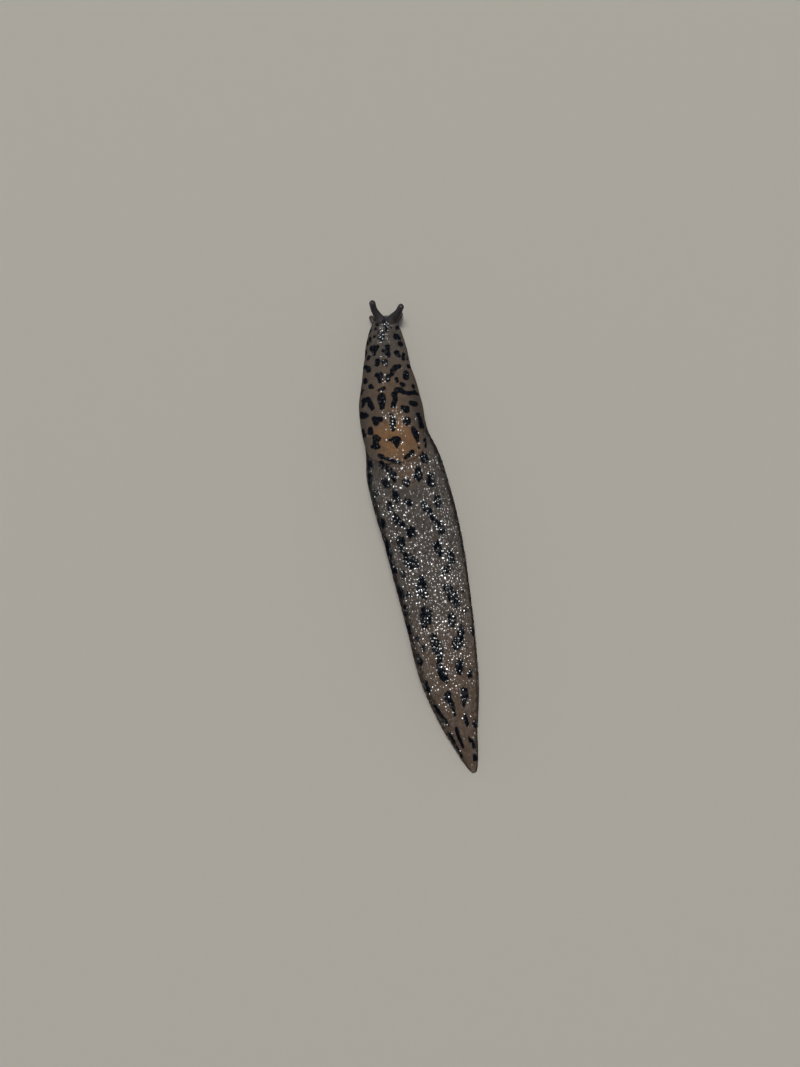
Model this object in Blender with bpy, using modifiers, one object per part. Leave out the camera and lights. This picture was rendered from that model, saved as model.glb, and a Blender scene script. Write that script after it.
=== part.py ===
"""Leopard slug, life size, crawling on a flat floor with its tentacles out.

+Y runs from the tail to the head, +X is the animal's right side and +Z is up. The
origin is on the floor below the middle of the whole slug. Sizes are in millimetres and
MM turns them into Blender's metres.
"""

import math

import bmesh
import bpy
from mathutils import Vector

MM = 0.001

# Thin cut that parts one piece from the next
GAP = 0.3

# Forward place of the brow, the front edge of the head between the tentacles
BROW_Y = 65.1

# The body from the brow to the tip of the tail: distance back from the brow, sideways
# place of the midline, full width, and height of the back above the floor
STATIONS = (
    ("snout", 0.0, -9.8, 4.8, 3.6),
    ("brow", 0.7, -9.8, 6.8, 4.3),
    ("temples", 2.0, -9.8, 7.8, 4.9),
    ("nape", 4.4, -9.85, 9.6, 5.7),
    ("mantle front", 9.3, -9.7, 12.1, 7.2),
    ("mantle shoulder", 16.2, -9.1, 13.9, 9.3),
    ("mantle, front third", 21.5, -8.55, 16.0, 10.6),
    ("mantle middle", 26.7, -8.15, 17.7, 11.8),
    ("mantle hump", 35.5, -6.6, 18.7, 13.2),
    ("mantle rear", 41.0, -5.15, 21.1, 13.4),
    ("behind the mantle", 44.0, -4.45, 22.3, 13.5),
    ("back, swelling", 47.5, -3.6, 22.8, 13.7),
    ("back, widest", 55.5, -1.4, 23.0, 14.4),
    ("back, front half", 62.5, 0.5, 22.5, 14.4),
    ("back, middle", 70.0, 2.2, 22.0, 14.2),
    ("back, rear", 87.0, 5.6, 19.8, 13.0),
    ("keel start", 101.0, 8.05, 17.8, 11.3),
    ("tail root", 109.0, 9.75, 15.5, 9.6),
    ("tail middle", 118.5, 11.9, 10.8, 7.3),
    ("tail, last third", 122.8, 13.1, 8.2, 5.9),
    ("tail end", 127.0, 14.4, 6.0, 4.5),
    ("tail tip", 132.0, 15.9, 2.8, 2.4),
    ("tail point", 133.4, 16.4, 1.2, 1.5),
)
BACK, SIDEWAYS, WIDTH, HEIGHT = 1, 2, 3, 4

# Cross section: where the sides are widest, how flat the belly is, how full the back is
WIDEST_SHARE = 0.36
BELLY_SHARE = 0.80
FULLNESS = 2.25
FLANK_TURN = 140.0
SNOUT_LIFT = 1.1
SNOUT_LIFT_LENGTH = 3.0

# Rounded front of the head: distance before the brow and share of the section there
SNOUT_ROUNDING = ((0.68, 0.45), (0.52, 0.74), (0.28, 0.93))

# Keel along the tail
KEEL_HEIGHT = 0.75
KEEL_HALF_WIDTH = 0.9
KEEL_FROM, KEEL_FULL = 96.0, 112.0
KEEL_FADES, KEEL_ENDS = 124.0, 132.0

# Foot: a slab under the whole slug, a little wider than the belly, with a sole in three
# strips between two grooves
FOOT_THICKNESS = 1.6
FOOT_HEIGHT_SHARE = 0.32
FOOT_SHARE = 0.87
FOOT_FRONT, FOOT_END = 1.9, 132.9
FOOT_NOSE = 2.2
SOLE_GROOVE_AT = 0.36
SOLE_GROOVE_HALF_WIDTH = 0.05
SOLE_GROOVE_DEPTH = 0.28

# Where thin cuts part the body and the foot, back from the brow
BODY_CUTS = (
    ("head", 0.0),
    ("neck", 5.7),
    ("trunk", 10.6),
    ("back_front", 44.0),
    ("back_middle", 68.0),
    ("back_rear", 91.0),
    ("tail", 112.0),
)
FOOT_CUTS = (
    ("foot_front", FOOT_FRONT),
    ("foot_middle", 45.0),
    ("foot_rear", 91.0),
)
RING_SPACING = 2.0
FOOT_RING_SPACING = 3.0
ARCH_STEPS = 26
FLANK_STEPS = 4

# Mantle: a shield of skin over the trunk, standing proud of it
MANTLE_FRONT, MANTLE_REAR = 9.3, 42.9
MANTLE_LEFT_TURN, MANTLE_RIGHT_TURN = 88.0, 72.0
MANTLE_PROUD, MANTLE_SUNK = 0.55, 0.55
MANTLE_FRONT_SQUARENESS, MANTLE_REAR_SQUARENESS = 2.7, 1.9
MANTLE_STEPS_LONG, MANTLE_STEPS_WIDE = 20, 16
MANTLE_RIM = 0.3
SEAT_CLEARANCE_TURN = 2.4
SEAT_OPEN_TO = 3.0

# Breathing pore in the right margin of the mantle
PORE_BACK, PORE_TURN = 36.5, 54.0
PORE_LENGTH, PORE_HEIGHT, PORE_DEPTH = 2.3, 1.3, 1.5

# Tentacles: centre line from root to tip, in the slug's own frame, and radii
UPPER_TENTACLES = {
    "left": ((-11.0, 63.7, 4.2), (-12.05, 65.0, 5.6), (-13.0, 66.25, 7.3), (-13.45, 67.5, 9.3)),
    "right": ((-8.5, 63.7, 4.2), (-7.45, 64.65, 5.6), (-6.15, 65.5, 7.4), (-5.35, 66.6, 9.0)),
}
UPPER_RADII = {"root": 1.6, "waist": 0.88, "bulb": 0.92}
UPPER_STUB, EYE_LENGTH = 3.0, 1.1
LOWER_TENTACLES = {
    "left": ((-12.3, 63.0, 2.9), (-13.3, 64.2, 2.6), (-14.0, 65.35, 2.1)),
    "right": ((-7.0, 63.1, 2.9), (-6.5, 64.5, 2.6), (-5.35, 66.4, 2.1)),
}
LOWER_RADII = {"root": 1.2, "waist": 0.74, "bulb": 0.68}
LOWER_STUB = 1.9
TUBE_STEPS = 9
DOME_STEPS = 4
TUBE_SIDES_RESOLUTION = 4

# Lips either side of the mouth, under the brow
LIP_RADII = (1.05, 1.15, 0.98)
LIP_SIDE, LIP_BACK, LIP_HEIGHT = 0.98, 1.2, 2.9
LIP_SEGMENTS, LIP_RINGS = 14, 8

SKIN = {
    "head": ((0.055, 0.045, 0.040), 0.35),
    "mantle": ((0.20, 0.115, 0.058), 0.32),
    "back": ((0.115, 0.090, 0.070), 0.38),
    "foot": ((0.42, 0.36, 0.28), 0.45),
    "tentacle": ((0.045, 0.038, 0.038), 0.30),
    "eye": ((0.006, 0.006, 0.007), 0.10),
}


def station_value(column, back):
    """A station column at a distance back, on a smooth curve through the rows."""
    at = [row[BACK] for row in STATIONS]
    value = [row[column] for row in STATIONS]
    last = len(at) - 1
    i = max(k for k in range(last) if at[k] <= max(back, 0.0))

    def slope(k):
        low, high = max(k - 1, 0), min(k + 1, last)
        return (value[high] - value[low]) / (at[high] - at[low])

    span = at[i + 1] - at[i]
    t = (back - at[i]) / span
    return (
        value[i] * (1 + 2 * t) * (1 - t) ** 2
        + slope(i) * span * t * (1 - t) ** 2
        + value[i + 1] * t * t * (3 - 2 * t)
        + slope(i + 1) * span * t * t * (t - 1)
    )


def ramp(value, start, end):
    """0 before start, 1 after end, smooth between them."""
    t = min(max((value - start) / (end - start), 0.0), 1.0)
    return t * t * (3 - 2 * t)


def frame_at(back):
    """Place of the midline on the floor and the direction of the animal's right side."""
    step = 0.05
    ahead, behind = max(back - step, 0.0), min(back + step, STATIONS[-1][BACK])
    drift = station_value(SIDEWAYS, behind) - station_value(SIDEWAYS, ahead)
    backward = Vector((drift, ahead - behind, 0)).normalized()
    place = Vector((station_value(SIDEWAYS, back), BROW_Y - back, 0))
    return place, Vector((-backward.y, backward.x, 0))


def foot_thickness(back):
    return min(FOOT_THICKNESS, FOOT_HEIGHT_SHARE * station_value(HEIGHT, back))


def belly_height(back):
    lift = SNOUT_LIFT * (1 - ramp(back, 0.0, SNOUT_LIFT_LENGTH))
    return foot_thickness(back) + GAP + lift


def keel_height(back):
    return KEEL_HEIGHT * ramp(back, KEEL_FROM, KEEL_FULL) * (1 - ramp(back, KEEL_FADES, KEEL_ENDS))


def section_point(back, turn):
    """Across and up, at a turn of 0 on the ridge of the back, 90 where the right side is
    widest, FLANK_TURN at the edge of the belly and 180 under the middle of it."""
    half = station_value(WIDTH, back) / 2
    belly, top = belly_height(back), station_value(HEIGHT, back)
    widest = belly + WIDEST_SHARE * (top - belly)
    side, turned = math.copysign(1, turn), abs(turn)
    if turned <= 90:
        a = math.radians(turned)
        across = half * math.sin(a) ** (2 / FULLNESS)
        up = widest + (top - widest) * max(math.cos(a), 0.0) ** (2 / FULLNESS)
        up += keel_height(back) * math.exp(-((across / KEEL_HALF_WIDTH) ** 2))
    elif turned <= FLANK_TURN:
        a = math.radians(90 * (turned - 90) / (FLANK_TURN - 90))
        across = half * (BELLY_SHARE + (1 - BELLY_SHARE) * math.cos(a))
        up = widest - (widest - belly) * math.sin(a)
    else:
        across = half * BELLY_SHARE * (180 - turned) / (180 - FLANK_TURN)
        up = belly
    return side * across, up


def skin_point(back, turn, proud=0.0):
    """Point of the body's surface, moved out along its normal by proud."""

    def on_surface(b, t):
        place, right = frame_at(b)
        across, up = section_point(b, t)
        return place + right * across + Vector((0, 0, up))

    point = on_surface(back, turn)
    if proud == 0.0:
        return point
    along = on_surface(back + 0.2, turn) - on_surface(back - 0.2, turn)
    around = on_surface(back, turn + 0.5) - on_surface(back, turn - 0.5)
    return point + along.cross(around).normalized() * proud


def new_object(name, bm, collection):
    mesh = bpy.data.meshes.new(name)
    bmesh.ops.recalc_face_normals(bm, faces=bm.faces)
    bm.to_mesh(mesh)
    bm.free()
    obj = bpy.data.objects.new(name, mesh)
    collection.objects.link(obj)
    return obj


def loft(name, rings, collection):
    """Closed skin through rings of points, with flat ends."""
    bm = bmesh.new()
    loops = [[bm.verts.new(point * MM) for point in ring] for ring in rings]
    for first, second in zip(loops, loops[1:]):
        for i in range(len(first)):
            j = (i + 1) % len(first)
            bm.faces.new((first[i], first[j], second[j], second[i]))
    bm.faces.new(loops[0])
    bm.faces.new(loops[-1])
    return new_object(name, bm, collection)


def steps_between(start, end, spacing):
    count = max(2, round((end - start) / spacing))
    return [start + (end - start) * k / count for k in range(count + 1)]


def body_turns():
    arch = [-90 + 180 * k / ARCH_STEPS for k in range(ARCH_STEPS + 1)]
    flank = [90 + (FLANK_TURN - 90) * k / FLANK_STEPS for k in range(1, FLANK_STEPS + 1)]
    return arch + flank + [180.0] + [-turn for turn in reversed(flank)]


def snout_rings(brow):
    """Rings that round the front of the head off, each a smaller copy of the brow's."""
    middle = sum(brow, Vector()) / len(brow)
    return [
        [middle + (point - middle) * share + Vector((0, ahead, 0)) for point in brow]
        for ahead, share in SNOUT_ROUNDING
    ]


def body_length(name, start, end, collection):
    backs = steps_between(start, end, RING_SPACING)
    if start == 0.0:
        backs = [0.0, 0.3, *steps_between(STATIONS[1][BACK], end, RING_SPACING / 2)]
    rings = [[skin_point(back, turn) for turn in body_turns()] for back in backs]
    if start == 0.0:
        rings = [*snout_rings(rings[0]), *rings]
    return loft(name, rings, collection)


def foot_section(back):
    """Outline of the foot slab: across and up, with the two grooves of the sole."""
    rounded = math.sqrt(1 - (1 - min((back - FOOT_FRONT) / FOOT_NOSE, 1.0)) ** 2 * 0.75)
    half = FOOT_SHARE * rounded * station_value(WIDTH, back) / 2
    thick = foot_thickness(back)
    groove = SOLE_GROOVE_AT * half
    lip = SOLE_GROOVE_HALF_WIDTH * half
    depth = SOLE_GROOVE_DEPTH * thick
    right = [
        (groove - lip, 0.0),
        (groove, depth),
        (groove + lip, 0.0),
        (half * 0.94, 0.0),
        (half, thick * 0.30),
        (half, thick * 0.72),
        (half * 0.95, thick),
    ]
    return right + [(-across, up) for across, up in reversed(right)]


def foot_length(name, start, end, collection):
    rings = []
    for back in steps_between(start, end, FOOT_RING_SPACING):
        place, right = frame_at(back)
        rings.append([place + right * u + Vector((0, 0, z)) for u, z in foot_section(back)])
    return loft(name, rings, collection)


def lengths(cuts, end):
    """Name, start and end of each length between thin cuts."""
    starts = [start if k == 0 else start + GAP for k, (_, start) in enumerate(cuts)]
    ends = [start for _, start in cuts[1:]] + [end]
    return [(name, start, stop) for (name, _), start, stop in zip(cuts, starts, ends)]


def shield_sheet(name, proud, spread, collection):
    """Open sheet in the mantle's shape: a rounded patch of the body's surface."""
    bm = bmesh.new()
    bmesh.ops.create_grid(
        bm, x_segments=MANTLE_STEPS_WIDE, y_segments=MANTLE_STEPS_LONG, size=1.0
    )
    middle = (MANTLE_FRONT + MANTLE_REAR) / 2
    half_length = (MANTLE_REAR - MANTLE_FRONT) / 2 + spread * GAP
    left = MANTLE_LEFT_TURN + spread * SEAT_CLEARANCE_TURN
    right = MANTLE_RIGHT_TURN + spread * SEAT_CLEARANCE_TURN
    for vert in bm.verts:
        x, y = vert.co.x, vert.co.y
        # From the square grid to a disc, then to a disc with fuller corners
        wide, long = x * math.sqrt(1 - y * y / 2), y * math.sqrt(1 - x * x / 2)
        radius = math.hypot(wide, long)
        if radius > 0:
            c, s = abs(wide) / radius, abs(long) / radius
            power = MANTLE_FRONT_SQUARENESS if long > 0 else MANTLE_REAR_SQUARENESS
            fuller = (c**power + s**power) ** (-1 / power)
            wide, long = wide * fuller, long * fuller
        turn = wide * (right if wide > 0 else left)
        vert.co = skin_point(middle - long * half_length, turn, proud) * MM
    return new_object(name, bm, collection)


def face_outwards(sheet):
    """An open sheet has no inside, so its faces are turned away from the floor."""
    bm = bmesh.new()
    bm.from_mesh(sheet.data)
    bm.normal_update()
    if sum(face.normal.z * face.calc_area() for face in bm.faces) < 0:
        bmesh.ops.reverse_faces(bm, faces=bm.faces)
    bm.to_mesh(sheet.data)
    bm.free()


def thicken(sheet, thickness):
    solidify = sheet.modifiers.new("Thickness", "SOLIDIFY")
    solidify.thickness = thickness * MM
    solidify.offset = 1.0
    solidify.use_even_offset = True


def apply_modifiers(obj):
    graph = bpy.context.evaluated_depsgraph_get()
    mesh = bpy.data.meshes.new_from_object(obj.evaluated_get(graph))
    obj.modifiers.clear()
    obj.data = mesh


def keep_largest(obj):
    """Drops any loose scrap that a union or a cut leaves."""
    bm = bmesh.new()
    bm.from_mesh(obj.data)
    left = set(bm.verts)
    islands = []
    while left:
        found = {left.pop()}
        edge = list(found)
        while edge:
            linked = {e.other_vert(v) for v in edge for e in v.link_edges} - found
            found |= linked
            edge = list(linked)
        left -= found
        islands.append(found)
    islands.sort(key=len)
    scraps = [vert for island in islands[:-1] for vert in island]
    bmesh.ops.delete(bm, geom=scraps, context="VERTS")
    bm.to_mesh(obj.data)
    bm.free()


def add_boolean(obj, other, operation):
    cut = obj.modifiers.new(operation.title(), "BOOLEAN")
    cut.operation = operation
    cut.solver = "EXACT"
    cut.object = other


def fuse(obj, pieces):
    """Joins closed pieces to obj in one Boolean union and removes them."""
    group = bpy.data.collections.new(obj.name + "_pieces")
    bpy.context.scene.collection.children.link(group)
    for piece in pieces:
        for owner in list(piece.users_collection):
            owner.objects.unlink(piece)
        group.objects.link(piece)
    join = obj.modifiers.new("Union", "BOOLEAN")
    join.operation = "UNION"
    join.solver = "EXACT"
    join.operand_type = "COLLECTION"
    join.collection = group
    apply_modifiers(obj)
    for piece in pieces:
        bpy.data.objects.remove(piece)
    bpy.data.collections.remove(group)
    keep_largest(obj)


def tube_line(points, steps):
    """Smooth line through the points, evenly spaced in its parameter."""
    last = len(points) - 1
    vectors = [Vector(point) for point in points]
    line = []
    for k in range(steps + 1):
        place = last * k / steps
        i = min(int(place), last - 1)
        t = place - i
        before = vectors[max(i - 1, 0)]
        after = vectors[min(i + 2, last)]
        here, there = vectors[i], vectors[i + 1]
        line.append(
            0.5 * (2 * here + (there - before) * t
                   + (2 * before - 5 * here + 4 * there - after) * t**2
                   + (3 * here - before - 3 * there + after) * t**3)
        )
    return line


def tentacle_rows(points, radii):
    """Points and radii from the root to the round end of a tentacle."""
    line = tube_line(points, TUBE_STEPS)
    rows = []
    for k, point in enumerate(line):
        t = k / TUBE_STEPS
        radius = radii["waist"] + (radii["root"] - radii["waist"]) * (1 - t) ** 2.5
        radius += (radii["bulb"] - radii["waist"]) * ramp(t, 0.75, 0.95)
        rows.append((point, radius))
    tip, ahead = line[-1], (line[-1] - line[-2]).normalized()
    for k in range(1, DOME_STEPS):
        a = math.pi / 2 * k / DOME_STEPS
        rows.append((tip + ahead * radii["bulb"] * math.sin(a), radii["bulb"] * math.cos(a)))
    return rows


def tube(name, rows, collection):
    """Tube through rows of point and radius, as a closed mesh."""
    curve = bpy.data.curves.new(name, "CURVE")
    curve.dimensions = "3D"
    curve.bevel_depth = MM
    curve.bevel_resolution = TUBE_SIDES_RESOLUTION
    curve.use_fill_caps = True
    spline = curve.splines.new("POLY")
    spline.points.add(len(rows) - 1)
    for target, (point, radius) in zip(spline.points, rows):
        target.co = (*(point * MM), 1)
        target.radius = radius
    drawn = bpy.data.objects.new(name + "_curve", curve)
    collection.objects.link(drawn)
    graph = bpy.context.evaluated_depsgraph_get()
    bm = bmesh.new()
    bm.from_mesh(bpy.data.meshes.new_from_object(drawn.evaluated_get(graph)))
    bmesh.ops.remove_doubles(bm, verts=bm.verts, dist=0.01 * MM)
    bpy.data.objects.remove(drawn)
    return new_object(name, bm, collection)


def cut_across(obj, point, direction, keep_front):
    """Cuts obj by a plane and closes the cut. keep_front keeps the side it points to."""
    bm = bmesh.new()
    bm.from_mesh(obj.data)
    bmesh.ops.bisect_plane(
        bm,
        geom=[*bm.verts, *bm.edges, *bm.faces],
        plane_co=point * MM,
        plane_no=direction,
        clear_outer=not keep_front,
        clear_inner=keep_front,
    )
    rim = [edge for edge in bm.edges if edge.is_boundary]
    bmesh.ops.contextual_create(bm, geom=rim)
    bmesh.ops.recalc_face_normals(bm, faces=bm.faces)
    bm.to_mesh(obj.data)
    bm.free()


def point_along(rows, distance):
    """Point and direction at a distance from the root of a tentacle."""
    for (here, _), (there, _) in zip(rows, rows[1:]):
        step = (there - here).length
        if distance <= step:
            break
        distance -= step
    return here.lerp(there, distance / step), (there - here).normalized()


def length_of(rows):
    return sum((there - here).length for (here, _), (there, _) in zip(rows, rows[1:]))


def make_tentacle(name, rows, stub_length, eye_length, collection):
    """The tentacle between its cuts, its eye if it has one, and the stub that it stands on,
    which is returned to be fused to the head."""
    shaft = tube(name, rows, collection)
    stub = tube(name + "_stub", rows, collection)
    point, ahead = point_along(rows, stub_length)
    cut_across(stub, point, ahead, keep_front=False)
    cut_across(shaft, point + ahead * GAP, ahead, keep_front=True)
    if eye_length:
        eye = tube(name.replace("upper_tentacle", "eye"), rows, collection)
        point, ahead = point_along(rows, length_of(rows) - eye_length - GAP)
        cut_across(shaft, point, ahead, keep_front=False)
        cut_across(eye, point + ahead * GAP, ahead, keep_front=True)
    return stub


def make_lip(side, collection):
    bm = bmesh.new()
    bmesh.ops.create_uvsphere(bm, u_segments=LIP_SEGMENTS, v_segments=LIP_RINGS, radius=1.0)
    place, right = frame_at(LIP_BACK)
    centre = place + right * (side * LIP_SIDE) + Vector((0, 0, LIP_HEIGHT))
    for vert in bm.verts:
        vert.co = Vector(a * r for a, r in zip(vert.co, LIP_RADII))
        vert.co = (vert.co + centre) * MM
    return new_object(f"lip_{'right' if side > 0 else 'left'}", bm, collection)


def make_pore_cutter(collection):
    bm = bmesh.new()
    bmesh.ops.create_uvsphere(bm, u_segments=16, v_segments=10, radius=1.0)
    centre = skin_point(PORE_BACK, PORE_TURN, MANTLE_PROUD)
    outwards = (centre - skin_point(PORE_BACK, PORE_TURN, -1.0)).normalized()
    _, right = frame_at(PORE_BACK)
    forward = Vector((0, 0, 1)).cross(right).normalized()
    upwards = outwards.cross(forward)
    for vert in bm.verts:
        a, b, c = vert.co
        vert.co = centre + forward * (a * PORE_LENGTH / 2) + upwards * (b * PORE_HEIGHT / 2)
        vert.co += outwards * (c * PORE_DEPTH)
        vert.co *= MM
    return new_object("pore_cutter", bm, collection)


def make_mantle(slug, cutters):
    """The mantle, and the cutter for the seat that it lies in."""
    mantle = shield_sheet("mantle", -MANTLE_SUNK, 0, slug)
    face_outwards(mantle)
    thicken(mantle, MANTLE_PROUD + MANTLE_SUNK)
    rim = mantle.modifiers.new("Rim", "BEVEL")
    rim.width = MANTLE_RIM * MM
    rim.segments = 2
    rim.limit_method = "ANGLE"
    rim.angle_limit = math.radians(50)
    apply_modifiers(mantle)
    add_boolean(mantle, make_pore_cutter(cutters), "DIFFERENCE")
    apply_modifiers(mantle)
    keep_largest(mantle)
    seat = shield_sheet("mantle_seat", -MANTLE_SUNK - GAP, 1, cutters)
    face_outwards(seat)
    thicken(seat, SEAT_OPEN_TO + MANTLE_SUNK + GAP)
    apply_modifiers(seat)
    return mantle, seat


def make_head(slug, neckward):
    """The head with the roots of its tentacles and its lips fused on."""
    head = body_length("head", 0.0, neckward, slug)
    fused = [make_lip(side, slug) for side in (-1, 1)]
    for side, points in UPPER_TENTACLES.items():
        rows = tentacle_rows(points, UPPER_RADII)
        fused.append(make_tentacle(f"upper_tentacle_{side}", rows, UPPER_STUB, EYE_LENGTH, slug))
    for side, points in LOWER_TENTACLES.items():
        rows = tentacle_rows(points, LOWER_RADII)
        fused.append(make_tentacle(f"lower_tentacle_{side}", rows, LOWER_STUB, 0.0, slug))
    fuse(head, fused)
    return head


def skin_material(kind):
    colour, roughness = SKIN[kind]
    material = bpy.data.materials.new(kind + "_skin")
    material.use_nodes = True
    shader = material.node_tree.nodes["Principled BSDF"]
    shader.inputs["Base Color"].default_value = (*colour, 1)
    shader.inputs["Roughness"].default_value = roughness
    shader.inputs["Metallic"].default_value = 0.0
    material.diffuse_color = (*colour, 1)
    return material


def kind_of(name):
    """Which skin a piece wears, by its name."""
    for kind in ("mantle", "foot", "tentacle", "eye"):
        if kind in name:
            return kind
    return "head" if name in ("head", "neck") else "back"


def finish_surfaces(slug):
    materials = {kind: skin_material(kind) for kind in SKIN}
    for obj in slug.objects:
        obj.data.materials.clear()
        obj.data.materials.append(materials[kind_of(obj.name)])
        obj.data.shade_smooth()
        obj.data.set_sharp_from_angle(angle=math.radians(50))


def main():
    for obj in list(bpy.data.objects):
        bpy.data.objects.remove(obj)
    slug = bpy.data.collections.new("leopard_slug")
    cutters = bpy.data.collections.new("cutters")
    bpy.context.scene.collection.children.link(slug)
    bpy.context.scene.collection.children.link(cutters)

    end = STATIONS[-1][BACK]
    pieces = {}
    for name, start, stop in lengths(BODY_CUTS, end):
        pieces[name] = make_head(slug, stop) if name == "head" else body_length(name, start, stop, slug)
    for name, start, stop in lengths(FOOT_CUTS, FOOT_END):
        foot_length(name, start, stop, slug)

    _, seat = make_mantle(slug, cutters)
    for name in ("neck", "trunk"):
        add_boolean(pieces[name], seat, "DIFFERENCE")
        apply_modifiers(pieces[name])
        keep_largest(pieces[name])
    finish_surfaces(slug)
    for cutter in cutters.objects:
        cutter.hide_render = True
        cutter.display_type = "WIRE"


main()
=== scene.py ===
# Leopard slug: its wet, spotted skin, its eyes, and the floor, light and camera around them
import math

import bmesh
import bpy
import numpy as np
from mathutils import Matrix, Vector


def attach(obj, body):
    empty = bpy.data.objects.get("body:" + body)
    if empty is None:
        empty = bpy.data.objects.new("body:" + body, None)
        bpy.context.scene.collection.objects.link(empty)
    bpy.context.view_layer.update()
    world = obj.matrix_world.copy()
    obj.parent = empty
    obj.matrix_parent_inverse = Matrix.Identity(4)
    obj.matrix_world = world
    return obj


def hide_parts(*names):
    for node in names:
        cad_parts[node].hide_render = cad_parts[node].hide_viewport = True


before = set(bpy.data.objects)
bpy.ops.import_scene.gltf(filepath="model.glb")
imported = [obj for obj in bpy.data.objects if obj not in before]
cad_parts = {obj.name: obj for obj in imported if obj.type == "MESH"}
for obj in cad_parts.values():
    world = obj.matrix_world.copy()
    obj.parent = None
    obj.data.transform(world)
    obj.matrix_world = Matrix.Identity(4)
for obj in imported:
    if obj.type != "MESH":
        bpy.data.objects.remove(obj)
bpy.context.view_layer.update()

mm = 0.001
scene = bpy.context.scene


# Small helpers for colours, nodes and smooth steps

def linear(hexColour):
    channels = [int(hexColour[i:i + 2], 16) / 255 for i in (1, 3, 5)]
    return [c / 12.92 if c <= 0.04045 else ((c + 0.055) / 1.055) ** 2.4 for c in channels] + [1.0]


def addNode(tree, kind, links=None, **settings):
    node = tree.nodes.new("ShaderNode" + kind)
    for name, value in settings.items():
        setattr(node, name, value)
    for socket, source in (links or {}).items():
        if isinstance(source, bpy.types.NodeSocket):
            tree.links.new(source, node.inputs[socket])
        else:
            node.inputs[socket].default_value = source
    return node


def emptyMaterial(name):
    material = bpy.data.materials.new(name)
    material.use_nodes = True
    material.node_tree.nodes.clear()
    return material, material.node_tree


def addShader(tree, sockets):
    shader = addNode(tree, "BsdfPrincipled", sockets)
    addNode(tree, "OutputMaterial", {"Surface": shader.outputs["BSDF"]})


def meshOf(bm, name):
    mesh = bpy.data.meshes.new(name)
    bm.to_mesh(mesh)
    bm.free()
    return mesh


def addObject(name, data):
    thing = bpy.data.objects.new(name, data)
    scene.collection.objects.link(thing)
    return thing


def progress(value, start, end):  # from 0 at the start to 1 at the end
    return np.clip((value - start) / (end - start), 0, 1)


def ramp(value, start, end):  # the same with soft ends
    t = progress(value, start, end)
    return t * t * (3 - 2 * t)


def between(value, rise, fall):  # 1 after the rise and before the fall, 0 outside them
    return ramp(value, *rise) * (1 - ramp(value, *fall))


def fade(value, share, start, end):  # from 1 at the start to that share less at the end
    return 1 - share * ramp(value, start, end)


def mix(first, second, share):
    return first + (second - first) * share


def chance(i, j, seed):  # the same number between -1 and 1 for the same place, every run
    n = np.sin(i * 127.1 + j * 311.7 + seed * 74.7) * 43758.5453
    return (n - np.floor(n)) * 2 - 1


def softNoise(x, y, seed):
    i, j = np.floor(x), np.floor(y)
    u, v = ramp(x - i, 0, 1), ramp(y - j, 0, 1)
    low = mix(chance(i, j, seed), chance(i + 1, j, seed), u)
    high = mix(chance(i, j + 1, seed), chance(i + 1, j + 1, seed), u)
    return mix(low, high, v)


def waver(back, arc, strength, length, width, seed):  # soft noise on the skin, sizes in millimetres
    return strength * softNoise(back / length, arc / width, seed)


# The body's form, the same sizes as the solids, in millimetres

body = dict(
    browY=65.1,  # front edge of the head
    stations=[  # back from the brow, sideways place of the midline, width, height
        (0.0, -9.8, 4.8, 3.6), (0.7, -9.8, 6.8, 4.3), (2.0, -9.8, 7.8, 4.9), (4.4, -9.85, 9.6, 5.7),
        (9.3, -9.7, 12.1, 7.2), (16.2, -9.1, 13.9, 9.3), (21.5, -8.55, 16.0, 10.6), (26.7, -8.15, 17.7, 11.8),
        (35.5, -6.6, 18.7, 13.2), (41.0, -5.15, 21.1, 13.4), (44.0, -4.45, 22.3, 13.5),
        (47.5, -3.6, 22.8, 13.7), (55.5, -1.4, 23.0, 14.4), (62.5, 0.5, 22.5, 14.4), (70.0, 2.2, 22.0, 14.2),
        (87, 5.6, 19.8, 13.0), (101.0, 8.05, 17.8, 11.3), (109.0, 9.75, 15.5, 9.6), (118.5, 11.9, 10.8, 7.3),
        (122.8, 13.1, 8.2, 5.9), (127.0, 14.4, 6.0, 4.5), (132.0, 15.9, 2.8, 2.4), (133.4, 16.4, 1.2, 1.5),
    ],
    end=133.1,
    widestShare=0.36,
    bellyShare=0.80,
    fullness=2.25,
    crease=0.3,  # between the flank and the foot
    snoutLift=1.1,
    snoutLiftLength=3.0,
    keelHeight=0.75,
    keelHalfWidth=0.9,
    keelEnds=((96.0, 112.0), (124.0, 132.0)),  # where it rises and fades
    footThickness=1.6,
    footHeightShare=0.32,
    footShare=0.87,
    footFront=1.9,
    footNose=2.2,
    footTaper=0.75,
    footGrows=(1.6, 2.8),
    # From the fringe to mid sole: share of the way round, share of the way in
    solePath=((0, 0.25, 0.4, 0.6, 0.75, 1), (1, 0.6, 0.46, 0.3, 0.2, 0)),
    soleGrooveAt=0.36,
    soleGrooveWidth=0.045,
    soleGrooveDepth=0.28,
    rows=370,
    columns=230,
    snoutRows=0.014,  # share of the rows that closes each end
    headShare=0.13,  # share of the rows on the head and neck, which are finer
    headLength=10.0,
    snoutBulge=0.68,
    tailBulge=0.3,
)

# Where each stretch of a ring ends, from the ridge of the back at 0 to mid sole at 1
archEnd, flankEnd, fringeEnd = 0.75, 0.85, 0.91


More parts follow.
